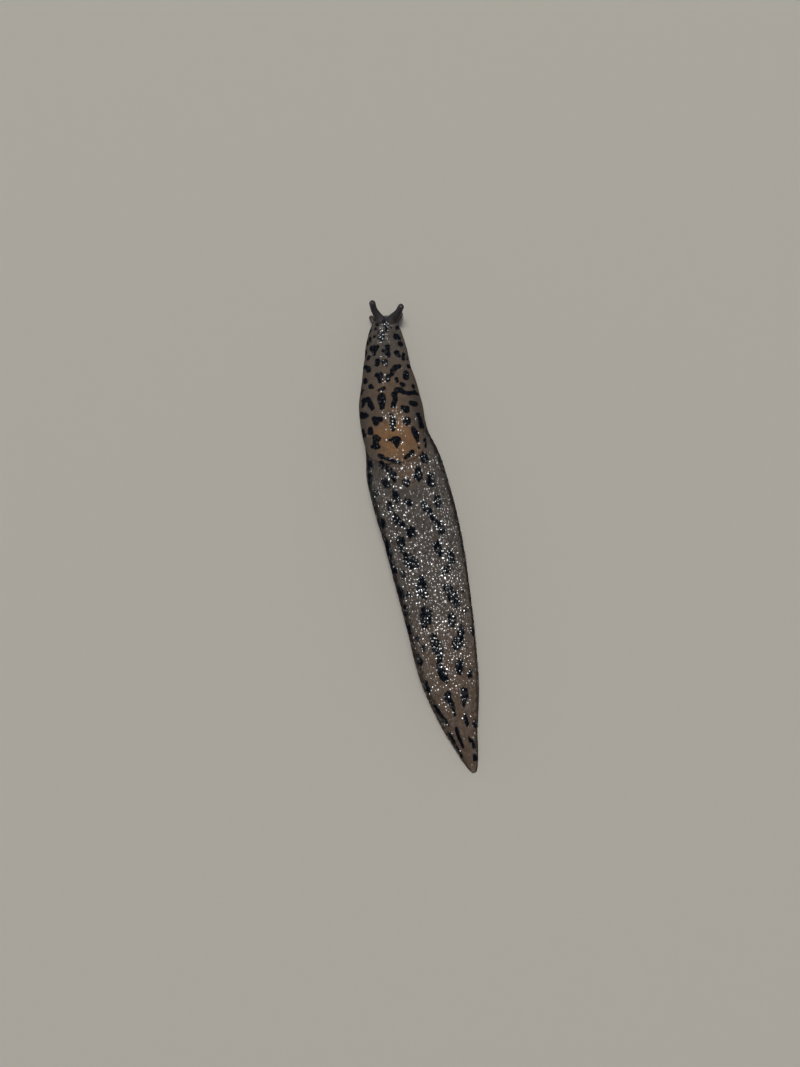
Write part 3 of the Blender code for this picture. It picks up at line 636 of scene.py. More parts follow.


# Dark marks, read from above, in the picture's units, 3.5 to the millimetre: a spot's middle
# x and y, width and length, or a stroke's x, y and width at each end.

marks = [
    # Head
    (375.7, 329, 2.2, 2), (374.1, 336.9, 1.8, 3), (369.9, 338.7, 1.8, 3.2), (367.3, 343, 1.4, 3.2),
    (371, 329.6, 1, 368.4, 334, 1.2), (390.6, 327.8, 1.5, 1.6), (397.8, 328, 3, 4), (396, 336.2, 4.8, 6.2),
    (399.6, 338, 3, 3), (400.6, 344, 4.8, 4.6), (381, 333, 5, 381.2, 338, 6.2),
    (385.8, 319.6, 4.4, 386, 323, 5.4), (386, 323, 4.6, 386.6, 331, 2), (379, 322.6, 2.6, 377, 324.6, 2),
    (380, 321.4, 2.6, 385, 321, 3.4), (387, 321, 3.4, 392.6, 319.8, 2.2),
    # Mantle
    (372.5, 348.4, 5.4, 376.3, 348, 5.8), (374.4, 349, 7, 374.6, 354.6, 2.8),
    (387.3, 346.8, 4, 387.2, 351, 3.6), (383.2, 351.4, 2, 386.6, 352.6, 3),
    (387.2, 352, 3.4, 388.2, 356.2, 4.2), (396.3, 353.7, 4.8, 397.3, 355.6, 4.4),
    (397.6, 356, 3, 399.2, 357.4, 1.6), (402.9, 355, 2.4, 402.5, 359.8, 2.6), (406.6, 358.9, 1.8, 4),
    (365.6, 351.5, 1.4, 365.9, 356.6, 1.4), (370, 357.4, 2, 369, 360, 2), (377.6, 363, 4, 7.6),
    (384.9, 363.2, 5.2, 6.4), (386.6, 365.8, 1.8, 2.6), (398.9, 367.2, 3.8, 395.4, 368.4, 4.8),
    (395.4, 368.4, 4.6, 392.3, 371.8, 3.8), (392.3, 371.8, 3.6, 392, 375.2, 3.4),
    (367, 367.4, 2.2, 369, 369, 3.2), (369.2, 368.8, 3.8, 369.8, 371.4, 3.6),
    (362.8, 368.6, 1, 366.5, 368.2, 1.6), (407.8, 367, 3, 3.8), (377.3, 375.9, 3.8, 380.3, 375.7, 5.2),
    (380.2, 375.7, 5, 380.8, 382, 3.8), (388.2, 379, 4, 7.4), (405.3, 376.1, 4.8, 9.6),
    (396, 379.4, 2.3, 397.2, 381.8, 2.6), (401, 384.4, 2.8, 403, 385.6, 3.2), (412, 387, 2.2, 3.2),
    (366.5, 381.6, 3.4, 5.6), (371.4, 387.4, 3.8, 4.8), (373.4, 388.2, 1.6, 1.8),
    (383.9, 388.7, 3.2, 380.8, 390.2, 2.8), (380.8, 390.2, 2.6, 379, 391, 1.6),
    (364.4, 391, 1.8, 362.9, 394.4, 1.6), (393.3, 394.6, 2.8, 396.6, 390.9, 4.6),
    (396.6, 390.8, 4.6, 400.4, 390.8, 5), (400.4, 391.4, 4.6, 403.4, 393, 3.6),
    (403.4, 393.4, 3, 409, 394.4, 3.2), (409, 394.2, 3.2, 413.2, 393.2, 4.2), (413, 394, 3, 416, 395, 2),
    (382, 397.4, 7, 382.2, 400.6, 7), (382.2, 400.6, 6.4, 382.4, 408, 3.8),
    (394.8, 395.6, 4, 395.2, 399.6, 4.8), (394.6, 400, 4, 393.4, 406.2, 4),
    (391.9, 407.2, 2, 394, 406.6, 3.6), (364.3, 406.2, 1.8, 365, 401, 3),
    (365.2, 400.6, 3.8, 369.2, 399.8, 3.4), (369.4, 400, 3.6, 373.2, 408.6, 3.8),
    (410.8, 403.7, 4.6, 413.8, 404.6, 5.2), (402.6, 408.2, 3.6, 406.2, 409, 5),
    (405.2, 410, 5, 406.4, 411.3, 4.8), (363, 413.6, 3, 366, 416, 4.6), (362.4, 416, 3, 366, 416.4, 4),
    (374.8, 419.4, 4.2, 381.4, 419.6, 3.8), (376.6, 420.4, 5.6, 376.6, 424.4, 3.2),
    (391.2, 416, 2.8, 393, 420.5, 5), (393, 420.5, 5.2, 392.8, 425, 5.4), (392.8, 425, 5, 392.6, 429.2, 3.8),
    (406.6, 421.8, 6.4, 8.6), (416.9, 414.8, 3, 418.6, 418.6, 2.8), (418.6, 418.6, 2.8, 420.6, 427.8, 3.4),
    (412.2, 428.6, 2.8, 414.6, 433.6, 5.8), (414.6, 433.6, 5.8, 417, 441.4, 2.6),
    (424, 440.4, 3, 425.8, 445.2, 3.2), (418.3, 447.6, 1.8, 2.2), (371.5, 431.4, 4.6, 7),
    (364.2, 431, 2.4, 365, 436, 3.2), (375.6, 437.6, 4, 379.2, 438.8, 3.8),
    (376.4, 438, 4.8, 376.6, 443.5, 4.6), (373.6, 446.8, 2.8, 379, 447, 3),
    (376.4, 445.2, 5.4, 376.6, 446.2, 5.2), (394.4, 440.2, 6.2, 397.2, 440.4, 6.8),
    (396.4, 441.6, 6.2, 397.2, 446.8, 2), (389.6, 440.4, 1, 393, 440.4, 3),
    (380.4, 455.4, 3.4, 382.6, 456.6, 4), (384, 458, 1.4, 386.6, 458.8, 1.6),
    (386.6, 458.8, 2, 391.6, 460.8, 2.4), (391.6, 461, 2.4, 399.2, 462.7, 2.2),
    (405, 458.2, 2.6, 408.4, 455.8, 2.8), (408.4, 455.8, 2.8, 412, 452.5, 4.2),
    # Back, then its edges
    (423.4, 456.6, 5.6, 425.2, 459.4, 5.6), (381.4, 464.4, 4.6, 6.6), (387.6, 467.6, 3, 390.2, 472, 3.8),
    (390.2, 472, 3.8, 393.6, 476, 4.8), (394.6, 478.4, 1.6, 394.4, 481.6, 1.2),
    (384.5, 480, 3.8, 386.2, 486, 5.2), (406.7, 482.6, 7, 7), (418.4, 467.2, 3.2, 418.5, 472, 5.8),
    (418.5, 472, 6, 418.4, 476.4, 7.4), (431.4, 475.2, 3.8, 431.2, 480, 5.8), (430.6, 482, 6, 432.6, 483, 6),
    (374.4, 494.3, 4.4, 7), (394.2, 492, 3.6, 395.2, 496, 5.6), (395.8, 496, 5.2, 397, 501.4, 3.2),
    (389, 503, 2.8, 389.8, 508.8, 3.8), (405.8, 500.8, 3.4, 409, 502, 4.8),
    (409, 502.4, 4.6, 411, 503.6, 2.8), (423.2, 504.4, 4.4, 426.6, 508.4, 5.6),
    (426.6, 508.4, 5.2, 431, 513.4, 4.4), (431, 513.4, 4.4, 432.8, 518, 3.2),
    (438, 496.4, 4.4, 437.8, 501, 6.4), (437.8, 501, 6.4, 438.4, 505, 4.4),
    (394, 513.8, 2.8, 396.2, 518.4, 5.6), (396.2, 518.4, 5.6, 398.8, 522.6, 5.2),
    (400.2, 522.4, 4.2, 403.2, 525.8, 2.8), (411.3, 532.2, 8, 9.4), (437.4, 523.4, 4, 440, 526.6, 6.8),
    (440.2, 527, 7, 441.6, 531, 5.6), (381.7, 520, 2.6, 383.6, 525.8, 3.6),
    (399, 539.8, 6, 401.4, 545.2, 5.8), (402.6, 538.8, 2.8, 403.4, 541, 2.8),
    (402, 551.6, 2.4, 405, 554.6, 2.8), (408.4, 557.8, 3.8, 406, 561, 6.4),
    (406.4, 560.6, 6.6, 411.6, 564.2, 8), (411.6, 564.2, 8, 415.4, 566, 5.8),
    (410.4, 558.6, 4, 415.2, 561.8, 4.4), (437, 545, 5.8, 438, 549, 7.4), (438.4, 549.4, 6.8, 441, 554, 4.4),
    (447, 553.6, 2.6, 451, 553.4, 4.8), (451.4, 554, 4.4, 451.8, 562, 5.8),
    (445.2, 571, 5.8, 447.2, 568.4, 5.4), (400.8, 573.6, 2.8, 403, 573.4, 3.6),
    (402.8, 574, 3.2, 403.2, 576.4, 2.2), (421.8, 577.8, 3.8, 422, 583, 6.8),
    (419.6, 586.4, 5.8, 423, 587, 7.4), (421.8, 588, 7.8, 423.6, 594.2, 6.8),
    (424, 594.4, 6, 425.4, 597, 3.8), (445.6, 586.6, 4, 450, 587, 5), (447.6, 587.6, 5.4, 450.6, 593, 7.8),
    (450.6, 593, 8, 454.6, 599.6, 8.6), (454.6, 600, 8.2, 457.2, 603.4, 6), (408.4, 595.4, 4.4, 4),
    (463.5, 591.6, 2.4, 2.6), (465, 610.4, 3.8, 5), (423.6, 609.8, 4.8, 426.6, 613.6, 9.4),
    (426.6, 613.6, 9.4, 425.6, 620, 9.8), (424.8, 621, 8.4, 424, 626, 4.6),
    (451.4, 615.2, 5.4, 451.8, 619, 8), (452, 620, 7, 452, 624.6, 4.4), (460.8, 627.6, 3.4, 461.4, 632.4, 7),
    (461.4, 632.4, 7.2, 460.8, 636.4, 6), (457.4, 639.2, 5.4, 456.8, 643.6, 8.4),
    (456.6, 643.6, 8, 455.6, 647.4, 5.8), (460.6, 641, 3.4, 461, 645.4, 3.2),
    (432.6, 636.8, 4.8, 434.6, 641.4, 7.4), (434.6, 641.4, 7.8, 437, 648.6, 9),
    (437, 648.6, 8.8, 439.2, 655.2, 6.8), (439.4, 658.6, 3.2, 439.4, 664.8, 3.4),
    (440.2, 667.8, 6.4, 441.4, 672.6, 8), (441.6, 672.6, 8.2, 444.4, 677.6, 7.4),
    (444.4, 678, 6, 446.4, 681.4, 3.4), (460.4, 662.2, 6.4, 459.4, 669, 8.4),
    (459.2, 669, 8.4, 459.4, 671.4, 6.4), (470.6, 670.8, 2.8, 470.3, 676.2, 4.8), (417.2, 639.4, 3, 4.8),
    (423, 648.6, 4, 5.6), (369.6, 462, 3, 369.3, 467.4, 3.4), (369, 475.4, 3, 369.6, 480.8, 3.4),
    (385.4, 541, 3, 389.4, 555.6, 3.4), (392, 565, 3.4, 394.2, 571, 3.4), (399.4, 589, 3.4, 401.4, 596, 3.4),
    (404.6, 606.4, 2.6, 406, 614.6, 2.6), (407, 625, 3, 409.4, 633, 3),
    (418.2, 656.6, 3.8, 419.8, 663.6, 4.6), (473.4, 626.2, 2.6, 473.6, 633.4, 2.8),
    # Tail
    (425, 682.8, 3.8, 428.4, 690.8, 4.6), (448.6, 693.6, 4.8, 446.6, 697.2, 7),
    (446.8, 697.2, 6.6, 450.6, 702, 5.8), (450.6, 702, 5.4, 453.4, 708.6, 2.8),
    (453.4, 708.6, 2.4, 455, 716, 1.6), (464.4, 690.8, 6, 464.9, 696, 8), (464.7, 697, 7.4, 463.9, 702, 4),
    (464, 702, 3, 464.4, 705.6, 2.2), (465.4, 713.4, 2.2, 466, 719, 3.8), (466, 719, 3.8, 468, 726.2, 2.8),
    (474.4, 721.4, 3.2, 475.8, 726.4, 3.8), (434.2, 705.2, 2.6, 438.6, 712.4, 3.2),
    (438.6, 712.4, 3.2, 444, 719.4, 3.4), (444, 719.4, 3.6, 448.4, 725.2, 2.8),
    (456, 727.8, 2.2, 458.2, 735.6, 3.2), (458.2, 735.6, 3.2, 462.9, 747.2, 2.2),
    (449.6, 733.6, 2.4, 453, 741, 2.6), (453, 741, 2.2, 458, 750, 1.6), (459.6, 751.6, 2, 461.2, 756.6, 2.6),
    (468.8, 737, 1.6, 470.4, 741, 2.4), (473, 741.2, 2.2, 474.4, 748, 2.8),
    (474.6, 755.8, 3.6, 475.2, 759, 4),
]
sideMarks = dict(  # low on the flanks, in millimetres and in shares
    seed=7,
    fromBack=12.0,
    toBack=128.0,
    spacing=5.2,
    unevenness=(0.7, 1.3),
    height=(0.35, 0.85),  # down from the widest line
    width=(1.3, 2.3),
    wholeFrom=12,  # where the back is narrower, the marks are too
    length=(2.4, 5.5),
    slant=(-0.6, 0.6),
)
markFit = dict(
    mostPull=2.6,  # across the steep sides, where the camera sees the skin aslant
    byTubercle=0.45,
    mantleGrowth=0.06,
    growth=((38, 48, 92, 106), (0.08, 0.19, 0.19, 0.02)),  # back from the brow, millimetres
)


def strokes():  # every mark as back, arc and radius at both ends, and the stretch of the skin there
    ends = []
    for mark in marks:
        if len(mark) == 4:
            x, y, wide, tall = mark
            reach, size = abs(tall - wide) / 2, min(wide, tall)
            dx, dy = (reach, 0) if wide > tall else (0, reach)
            mark = (x - dx, y - dy, size, x + dx, y + dy, size)
        ends.append((mark[:3], mark[3:]))
    found = []
    for x, y, size in np.array(ends).transpose(1, 2, 0):
        back, ring = fromPicture(x, y)
        inner = ring * 0.985 + 1e-6  # a little nearer the ridge of the back
        seen = np.maximum(np.abs(ringPoint(back, ring)[0] - ringPoint(back, inner)[0]), 1e-4)
        pull = np.clip(np.abs(arcAt(back, ring) - arcAt(back, inner)) / seen, 1, markFit["mostPull"])
        found.append((back, arcAt(back, ring), size / 2 * unit, pull))
    made = np.stack([*found[0][:3], *found[1][:3], (found[0][3] + found[1][3]) / 2], -1)
    return np.concatenate([made, np.array(sideStrokes())])


def sideStrokes():  # marks low on the flanks, which the photo's view doesn't reach
    draw = np.random.default_rng(sideMarks["seed"])
    low = []
    for side in (-1, 1):
        back = sideMarks["fromBack"]
        while back < sideMarks["toBack"]:
            widest, belly = arcAt(np.full(2, back), np.array([archEnd, flankEnd]))
            arc = side * mix(widest, belly, draw.uniform(*sideMarks["height"]))
            size = draw.uniform(*sideMarks["width"]) / 2 * min(1, widest / sideMarks["wholeFrom"])
            reach = draw.uniform(*sideMarks["length"]) / 2
            slanted = arc + draw.uniform(*sideMarks["slant"])
            low.append((back - reach, arc, size, back + reach, slanted, size, 1.0))
            back += sideMarks["spacing"] * draw.uniform(*sideMarks["unevenness"])
    return low


def markDistance(back, arc, table):  # distance to the nearest mark's edge, below zero inside it
    nearest = np.full(back.shape, 9.0)
    for back0, arc0, radius0, back1, arc1, radius1, pull in table:
        runBack, runArc = back1 - back0, (arc1 - arc0) / pull
        awayBack, awayArc = back - back0, (arc - arc0) / pull
        t = np.clip((awayBack * runBack + awayArc * runArc) / max(runBack**2 + runArc**2, 1e-9), 0, 1)
        distance = np.hypot(awayBack - t * runBack, awayArc - t * runArc) - mix(radius0, radius1, t)
        nearest = np.minimum(nearest, distance)
    return nearest


def marksAt(back, arc, toBack, toArc, onMantle):  # off the mantle their edges follow the tubercles
    table = strokes()
    mark = markDistance(back, arc, table)
    byTubercle = markDistance(back + toBack, arc + toArc, table)
    mark = np.where(onMantle, mark, mix(mark, byTubercle, markFit["byTubercle"]))
    return mark - np.where(onMantle, markFit["mantleGrowth"], np.interp(back, *markFit["growth"]))


# Shades of the skin under the marks. Lengths are back from the brow, in millimetres.

shades = dict(
    # Tan patches: middle back and arc, half length, half width, strength, squareness, slant
    tan=[(36.9, -0.4, 5.6, 5.7, 1.0, 4, 0.2), (25, 0, 8.0, 4.6, 0.4, 2, 0), (46, 1, 3.4, 4.0, 0.4, 2, 0)],
    tanBlotches=0.4,
    blotches=[(0.6, 3.5, 2.6, 31), (0.3, 1.3, 1.1, 33)],  # strength, length, width and seed
    brown=(66, 112),  # from grey to brown
    warm=((2, 9, 18), (0, 0.5, 1)),
    bodyWarmth=0.85,
    bodyCools=(16, 30),
    # Width of the dark band along the edges, part dark skin and part painted shade: back from the brow, left,
    # right
    band=[
        (8, 0.6, 0.6), (40, 1.35, 1.35), (58, 1.35, 1.3), (66, 1.25, 1.05), (78, 1.25, 0.75),
        (95, 1.7, 0.85), (112, 2.0, 1.25), (124, 1.3, 0.9), (133, 0.5, 0.5),
    ],
    bandEdge=(0.6, 1.5),  # of its width
    bandGrows=(8, 40),
    bandPales=(0.2, 85, 105),  # by how much, from where to where
    bandEnds=(0.6, 1.02, 1.08),  # the same, down the side, with 1 at the widest line
    bandOnMantle=0.2,
    shadedSide=0.55,  # painted shade on the mantle's right side
    shadeGrows=(16, 26),
    shadeStarts=(0.3, 0.5),  # down the side
    shadeEnds=(0.8, 0.64, 0.72),
    slateWidths=(3.1, 1.8, 3.5),  # at the brow, behind it, and how far back it narrows
    slateFades=(0.8, 6.5),
    lowerSlate=0.35,  # on the lower tentacles and lips
    # Where the flank, foot and sole start, from the ridge of the back at 0 to mid sole at 1
    flankStarts=(archEnd - 0.02, archEnd + 0.02),
    footStarts=(flankEnd - 0.02, flankEnd + 0.005),
    soleStarts=(fringeEnd - 0.02, fringeEnd + 0.01),
    footFromBrow=(1.5, 3),
    tentacleStarts=(0.1, 0.35),  # of a tentacle's length
    tentacleSheen=(0.0, 0.4),  # of the way out to there
)


def tanAt(back, arc):
    tan = 0
    for middle, side, length, width, strength, squareness, slant in shades["tan"]:
        along, across = back - middle, arc - side - slant * (back - middle)
        tan = tan + strength * np.exp(-((along / length) ** squareness) - (across / width) ** squareness)
    blotch = sum(waver(back, arc, *layer) for layer in shades["blotches"])
    return np.clip(tan * (1 + shades["tanBlotches"] * blotch), 0, 1)


def darkBandAndShadeAt(back, ring, onMantle):
    # A dark band along each edge that shows from above, part dark skin and part painted shade, and painted
    # shade darkens the mantle's right side
    r = np.abs(ring) / archEnd
    fromEdge = columnAt(2, back) / 2 - np.abs(ringPoint(back, np.clip(ring, -archEnd, archEnd))[0])
    backs, left, right = np.array(shades["band"]).T
    width = np.where(ring < 0, np.interp(back, backs, left), np.interp(back, backs, right))
    darkBandAndShade = (1 - ramp(fromEdge / width, *shades["bandEdge"])) * np.where(onMantle, shades["bandOnMantle"], 1)
    darkBandAndShade = darkBandAndShade * ramp(back, *shades["bandGrows"]) * fade(back, *shades["bandPales"])
    darkBandAndShade = darkBandAndShade * fade(r, *shades["bandEnds"])
    paintedShade = ramp(r, *shades["shadeStarts"]) * fade(r, *shades["shadeEnds"]) * ramp(back, *shades["shadeGrows"])
    return np.clip(np.maximum(darkBandAndShade, onMantle * (ring > 0) * shades["shadedSide"] * paintedShade), 0, 1)


def slateAt(back, arc, onLower, out):
    # The upper tentacles and the front of the head are slate grey, the lower ones and the lips brown
    atBrow, behind, narrows = shades["slateWidths"]
    width = mix(atBrow, behind, ramp(back, 0, narrows))
    slate = np.exp(-((arc / width) ** 2)) * (1 - ramp(back, *shades["slateFades"]))
    return np.where(onLower, shades["lowerSlate"] * slate, np.maximum(slate, out))


def ridgesAt(back, arc):  # way out from the middle of the mantle's rings of fine ridges
    middleBack, middleArc = mantle["ridgeMiddle"]
    out = np.hypot((back - middleBack) * mantle["ridgeShare"], arc - middleArc)
    return out + waver(back, arc, *mantle["ridgeWander"])


# Wet film: beads of mucus, coarser than life so that each still shows as one glint

film = dict(
    bead=(0.82, 0.96),  # width and length
    dome=(-0.31, -0.7),  # its least height, and what chance adds
    dried=0.04,  # what is left of the film where a bead has dried
    pastEnds=(-2.5, 1.0),  # beads over the closed front and rear
    headScale=0.7,  # of a bead's size, on the head
    headSteepness=0.42,
    headEnds=(6, 14),
    rearSteepness=0.72,  # flatter beads, which give brighter glints
    rearStarts=(62, 80),
    # Share of the beads that are wet: back from the brow, share
    onBack=[(44, 0.6), (62, 0.64), (72, 0.78), (92, 0.84), (102, 0.68), (110, 0.4), (118, 0.22), (130, 0.15)],
    backStarts=(41, 45),
    onSides=0.2,
    sidesStart=(0.6, 0.75),  # of the way down the arch
    onMantle=0.03,
    drierOnMarks=0.2,
    # Patches in the picture: middle x and y, half width, half length, share of wet beads
    wetPatches=[
        (385.5, 322, 9, 7, 0.9), (383, 332, 5.5, 9, 0.85), (381, 341, 5, 4, 0.6), (391, 343, 5, 4, 0.4),
        (386, 380, 5, 6, 0.5), (385, 363, 2, 3, 0.9), (384.5, 410, 3, 6, 0.6), (395, 420, 12, 13, 0.68),
        (400, 431, 4, 3, 0.8), (386, 439.5, 2, 2, 0.9), (403, 445, 3, 6, 0.6), (396, 456, 9, 3, 0.6),
        (398, 461.5, 6, 3, 1.0), (413.5, 456.5, 4, 3, 0.9), (375, 489, 6, 14, 0.85), (388, 512, 6, 20, 0.85),
        (396, 541, 6, 14, 0.85), (435, 482, 7, 20, 0.75), (444, 522, 7, 24, 0.75), (451, 562, 7, 24, 0.8),
        (410, 586, 9, 20, 0.85), (420, 650, 7, 16, 0.8), (436, 575, 9, 24, 0.8), (428, 545, 8, 12, 0.8),
    ],
    dryPatches=[(378, 467, 12, 14, 0.9), (411, 490, 14, 10, 0.6), (412, 520, 10, 8, 0.55)],
    patchUnit=0.28,
    patchEdge=(0.7, 1.25),
)


def beadPlaces(back, arc, closing):  # along and across the lattice of beads, and how steep they are
    onHead = 1 - ramp(stepsAlong, *film["headEnds"])
    scale = mix(1, film["headScale"], onHead)
    count = np.cumsum(1 / scale) * (stepsAlong[1] - stepsAlong[0]) / film["bead"][1]
    along = np.interp(back, stepsAlong, count) + np.where(back < 1, *film["pastEnds"]) * np.sin(closing)
    across = arc / film["bead"][0] / np.interp(back, stepsAlong, scale)
    steepness = mix(film["headSteepness"], 1, ramp(back, *film["headEnds"]))
    return along, across, steepness * mix(1, film["rearSteepness"], ramp(back, *film["rearStarts"]))


def wetAt(back, ring, arc, mark, flank, onMantle):
    # Whole on the back, thinner on the tail and sides, in patches on the head and mantle
    wet = np.interp(back, *np.array(film["onBack"]).T) * ramp(back, *film["backStarts"])
    wet = np.where(onMantle, film["onMantle"], wet)
    onSides = ramp(np.abs(ring) / archEnd, *film["sidesStart"])
    wet = mix(wet, np.minimum(wet, film["onSides"]), onSides)
    wet = wet * (1 - flank) * (1 - film["drierOnMarks"] * (1 - ramp(mark, -0.4, 0.0)))
    for kind in ("wetPatches", "dryPatches"):
        for x, y, wide, tall, share in film[kind]:
            middleBack, middleRing = fromPicture(np.array([x + 0.0]), np.array([y + 0.0]))
            middleArc = arcAt(middleBack, middleRing)
            length, width = tall * film["patchUnit"], wide * film["patchUnit"]
            away = np.hypot((back - middleBack) / length, (arc - middleArc) / width)
            inside = share * (1 - ramp(away, *film["patchEdge"]))
            wet = np.maximum(wet, inside) if kind == "wetPatches" else np.minimum(wet, 1 - inside)
    return np.clip(wet, 0, 1)


# The skin's values at each corner of each face, for its finish to read

def placesOnSlug(u, v):  # patch, back, ring, arc, the closing turn and the way out along a tentacle
    patch = patchOf(u, v)
    back, ring, arc, closing, out = np.zeros((5, len(u)))
    for number, (name, (left, bottom, right, top)) in enumerate(maps.items()):
        here = patch == number
        x, y = (u[here] - left) / (right - left) * 2 - 1, (v[here] - bottom) / (top - bottom) * 2 - 1
        if name in smallNames:
            points = patchPoints(name, x, y)
            back[here] = body["browY"] - points[:, 1]
            arc[here] = (points[:, 0] - columnAt(1, np.zeros(1))) * 1.1
            out[here] = 0 if "lip" in name else ramp((1 - y) / 2, *shades["tentacleStarts"])
            continue
        if name == "body":
            back[here], ring[here], closing[here] = placeBody(x, y)
        else:
            back[here], ring[here] = placeMantle(x, y)[:2]
        # On the closed ends, places run together in the middle
        arc[here] = arcAt(back[here], ring[here]) * np.cos(closing[here])
    return patch, back, ring, arc, closing, out


def paintSkin(skin):
    mesh = skin.data
    onMap = np.empty(len(mesh.loops) * 2)
    mesh.uv_layers["OFBake"].data.foreach_get("uv", onMap)
    spots, where = np.unique(np.round(onMap.reshape(-1, 2), 6), axis=0, return_inverse=True)
    patch, back, ring, arc, closing, out = placesOnSlug(spots[:, 0], spots[:, 1])
    onMantle = patch == list(maps).index("mantle")
    onSmall = patch > list(maps).index("mantle")
    onLower = patch >= list(maps).index("lowerLeft")
    r = np.abs(ring)

    height, lot, toBack, toArc, _ = tubercleField(back, arc)
    along, across, steepness = beadPlaces(back, arc, closing)
    mark = marksAt(back, arc, toBack, toArc, onMantle) + 3.0 * out  # none on the tentacles
    warm = np.interp(back, *shades["warm"])
    cooler = shades["bodyWarmth"] * (1 - ramp(back, *shades["bodyCools"]))
    foot = ramp(r, *shades["footStarts"]) * ramp(back, *shades["footFromBrow"]) * ~onSmall
    flank = np.maximum(ramp(r, *shades["flankStarts"]), np.sin(closing))
    flank = np.where(onSmall, ramp(out, *shades["tentacleSheen"]), flank)
    flank[onLower] = 1
    wet = wetAt(back, ring, arc, mark, flank, onMantle)
    values = dict(
        mark=mark,
        tan=tanAt(back, arc),
        brown=ramp(back, *shades["brown"]),
        darkBandAndShade=darkBandAndShadeAt(back, ring, onMantle) * ~onSmall,
        slate=slateAt(back, arc, onLower, out),
        foot=foot,
        sole=ramp(r, *shades["soleStarts"]) * foot,
        ridges=ridgesAt(back, arc) * onMantle,
        shield=onMantle * 1.0,
        warm=warm * np.where(onMantle, 1, cooler),
        wet=wet * np.cos(closing) * np.where(onSmall, 1 - flank, 1),
        flank=flank,
        height=np.where(onMantle | onSmall, 1.0, height),
        lot=np.where(onMantle | onSmall, 0.0, lot),
        across=across,
        along=along,
        steepness=steepness,
    )
    for name, numbers in values.items():
        layer = mesh.attributes.new(name, "FLOAT", "CORNER")
        layer.data.foreach_set("value", numbers[where.ravel()].astype(np.float32))


# Finishes

skinFinish = dict(
    grey="#544f4b",
    brown="#6a584a",
    shield="#554c44",
    tan="#8d663f",
    mottle="#3a332d",
    paler="#6a5b4e",
    palest="#75695f",  # on some of the tubercles
    # painted shade: darker down in the grooves between the tubercles
    groove="#332d29",
    # the dark band along the edges, part dark skin and part painted shade, and the painted shade on the
    # mantle's right side
    darkBandAndShade="#211f1f",
    slate="#373538",
    # black of the spots, tinted blue by a painted reflection of the sky on their wet film
    mark="#050c14",
    fringe="#4c4640",
    fringeDark="#2e2a27",
    sole="#8b8172",
    roughness=0.42,
    coatRoughness=0.3,
    flankSheen=0.2,
    # Sizes of the patterns, in metres
    patches=0.006,
    blotches=0.003,
    mottling=0.0016,
    raggedness=0.0013,
    pits=0.0007,
    ridge=0.00055,  # from one fine ridge of the mantle to the next
    grain=0.00022,  # about a fifth of a millimetre
    relief=0.00009,
    markEdge=0.19,  # soft edge of a mark, in millimetres
    markGrowth=0.12,
)


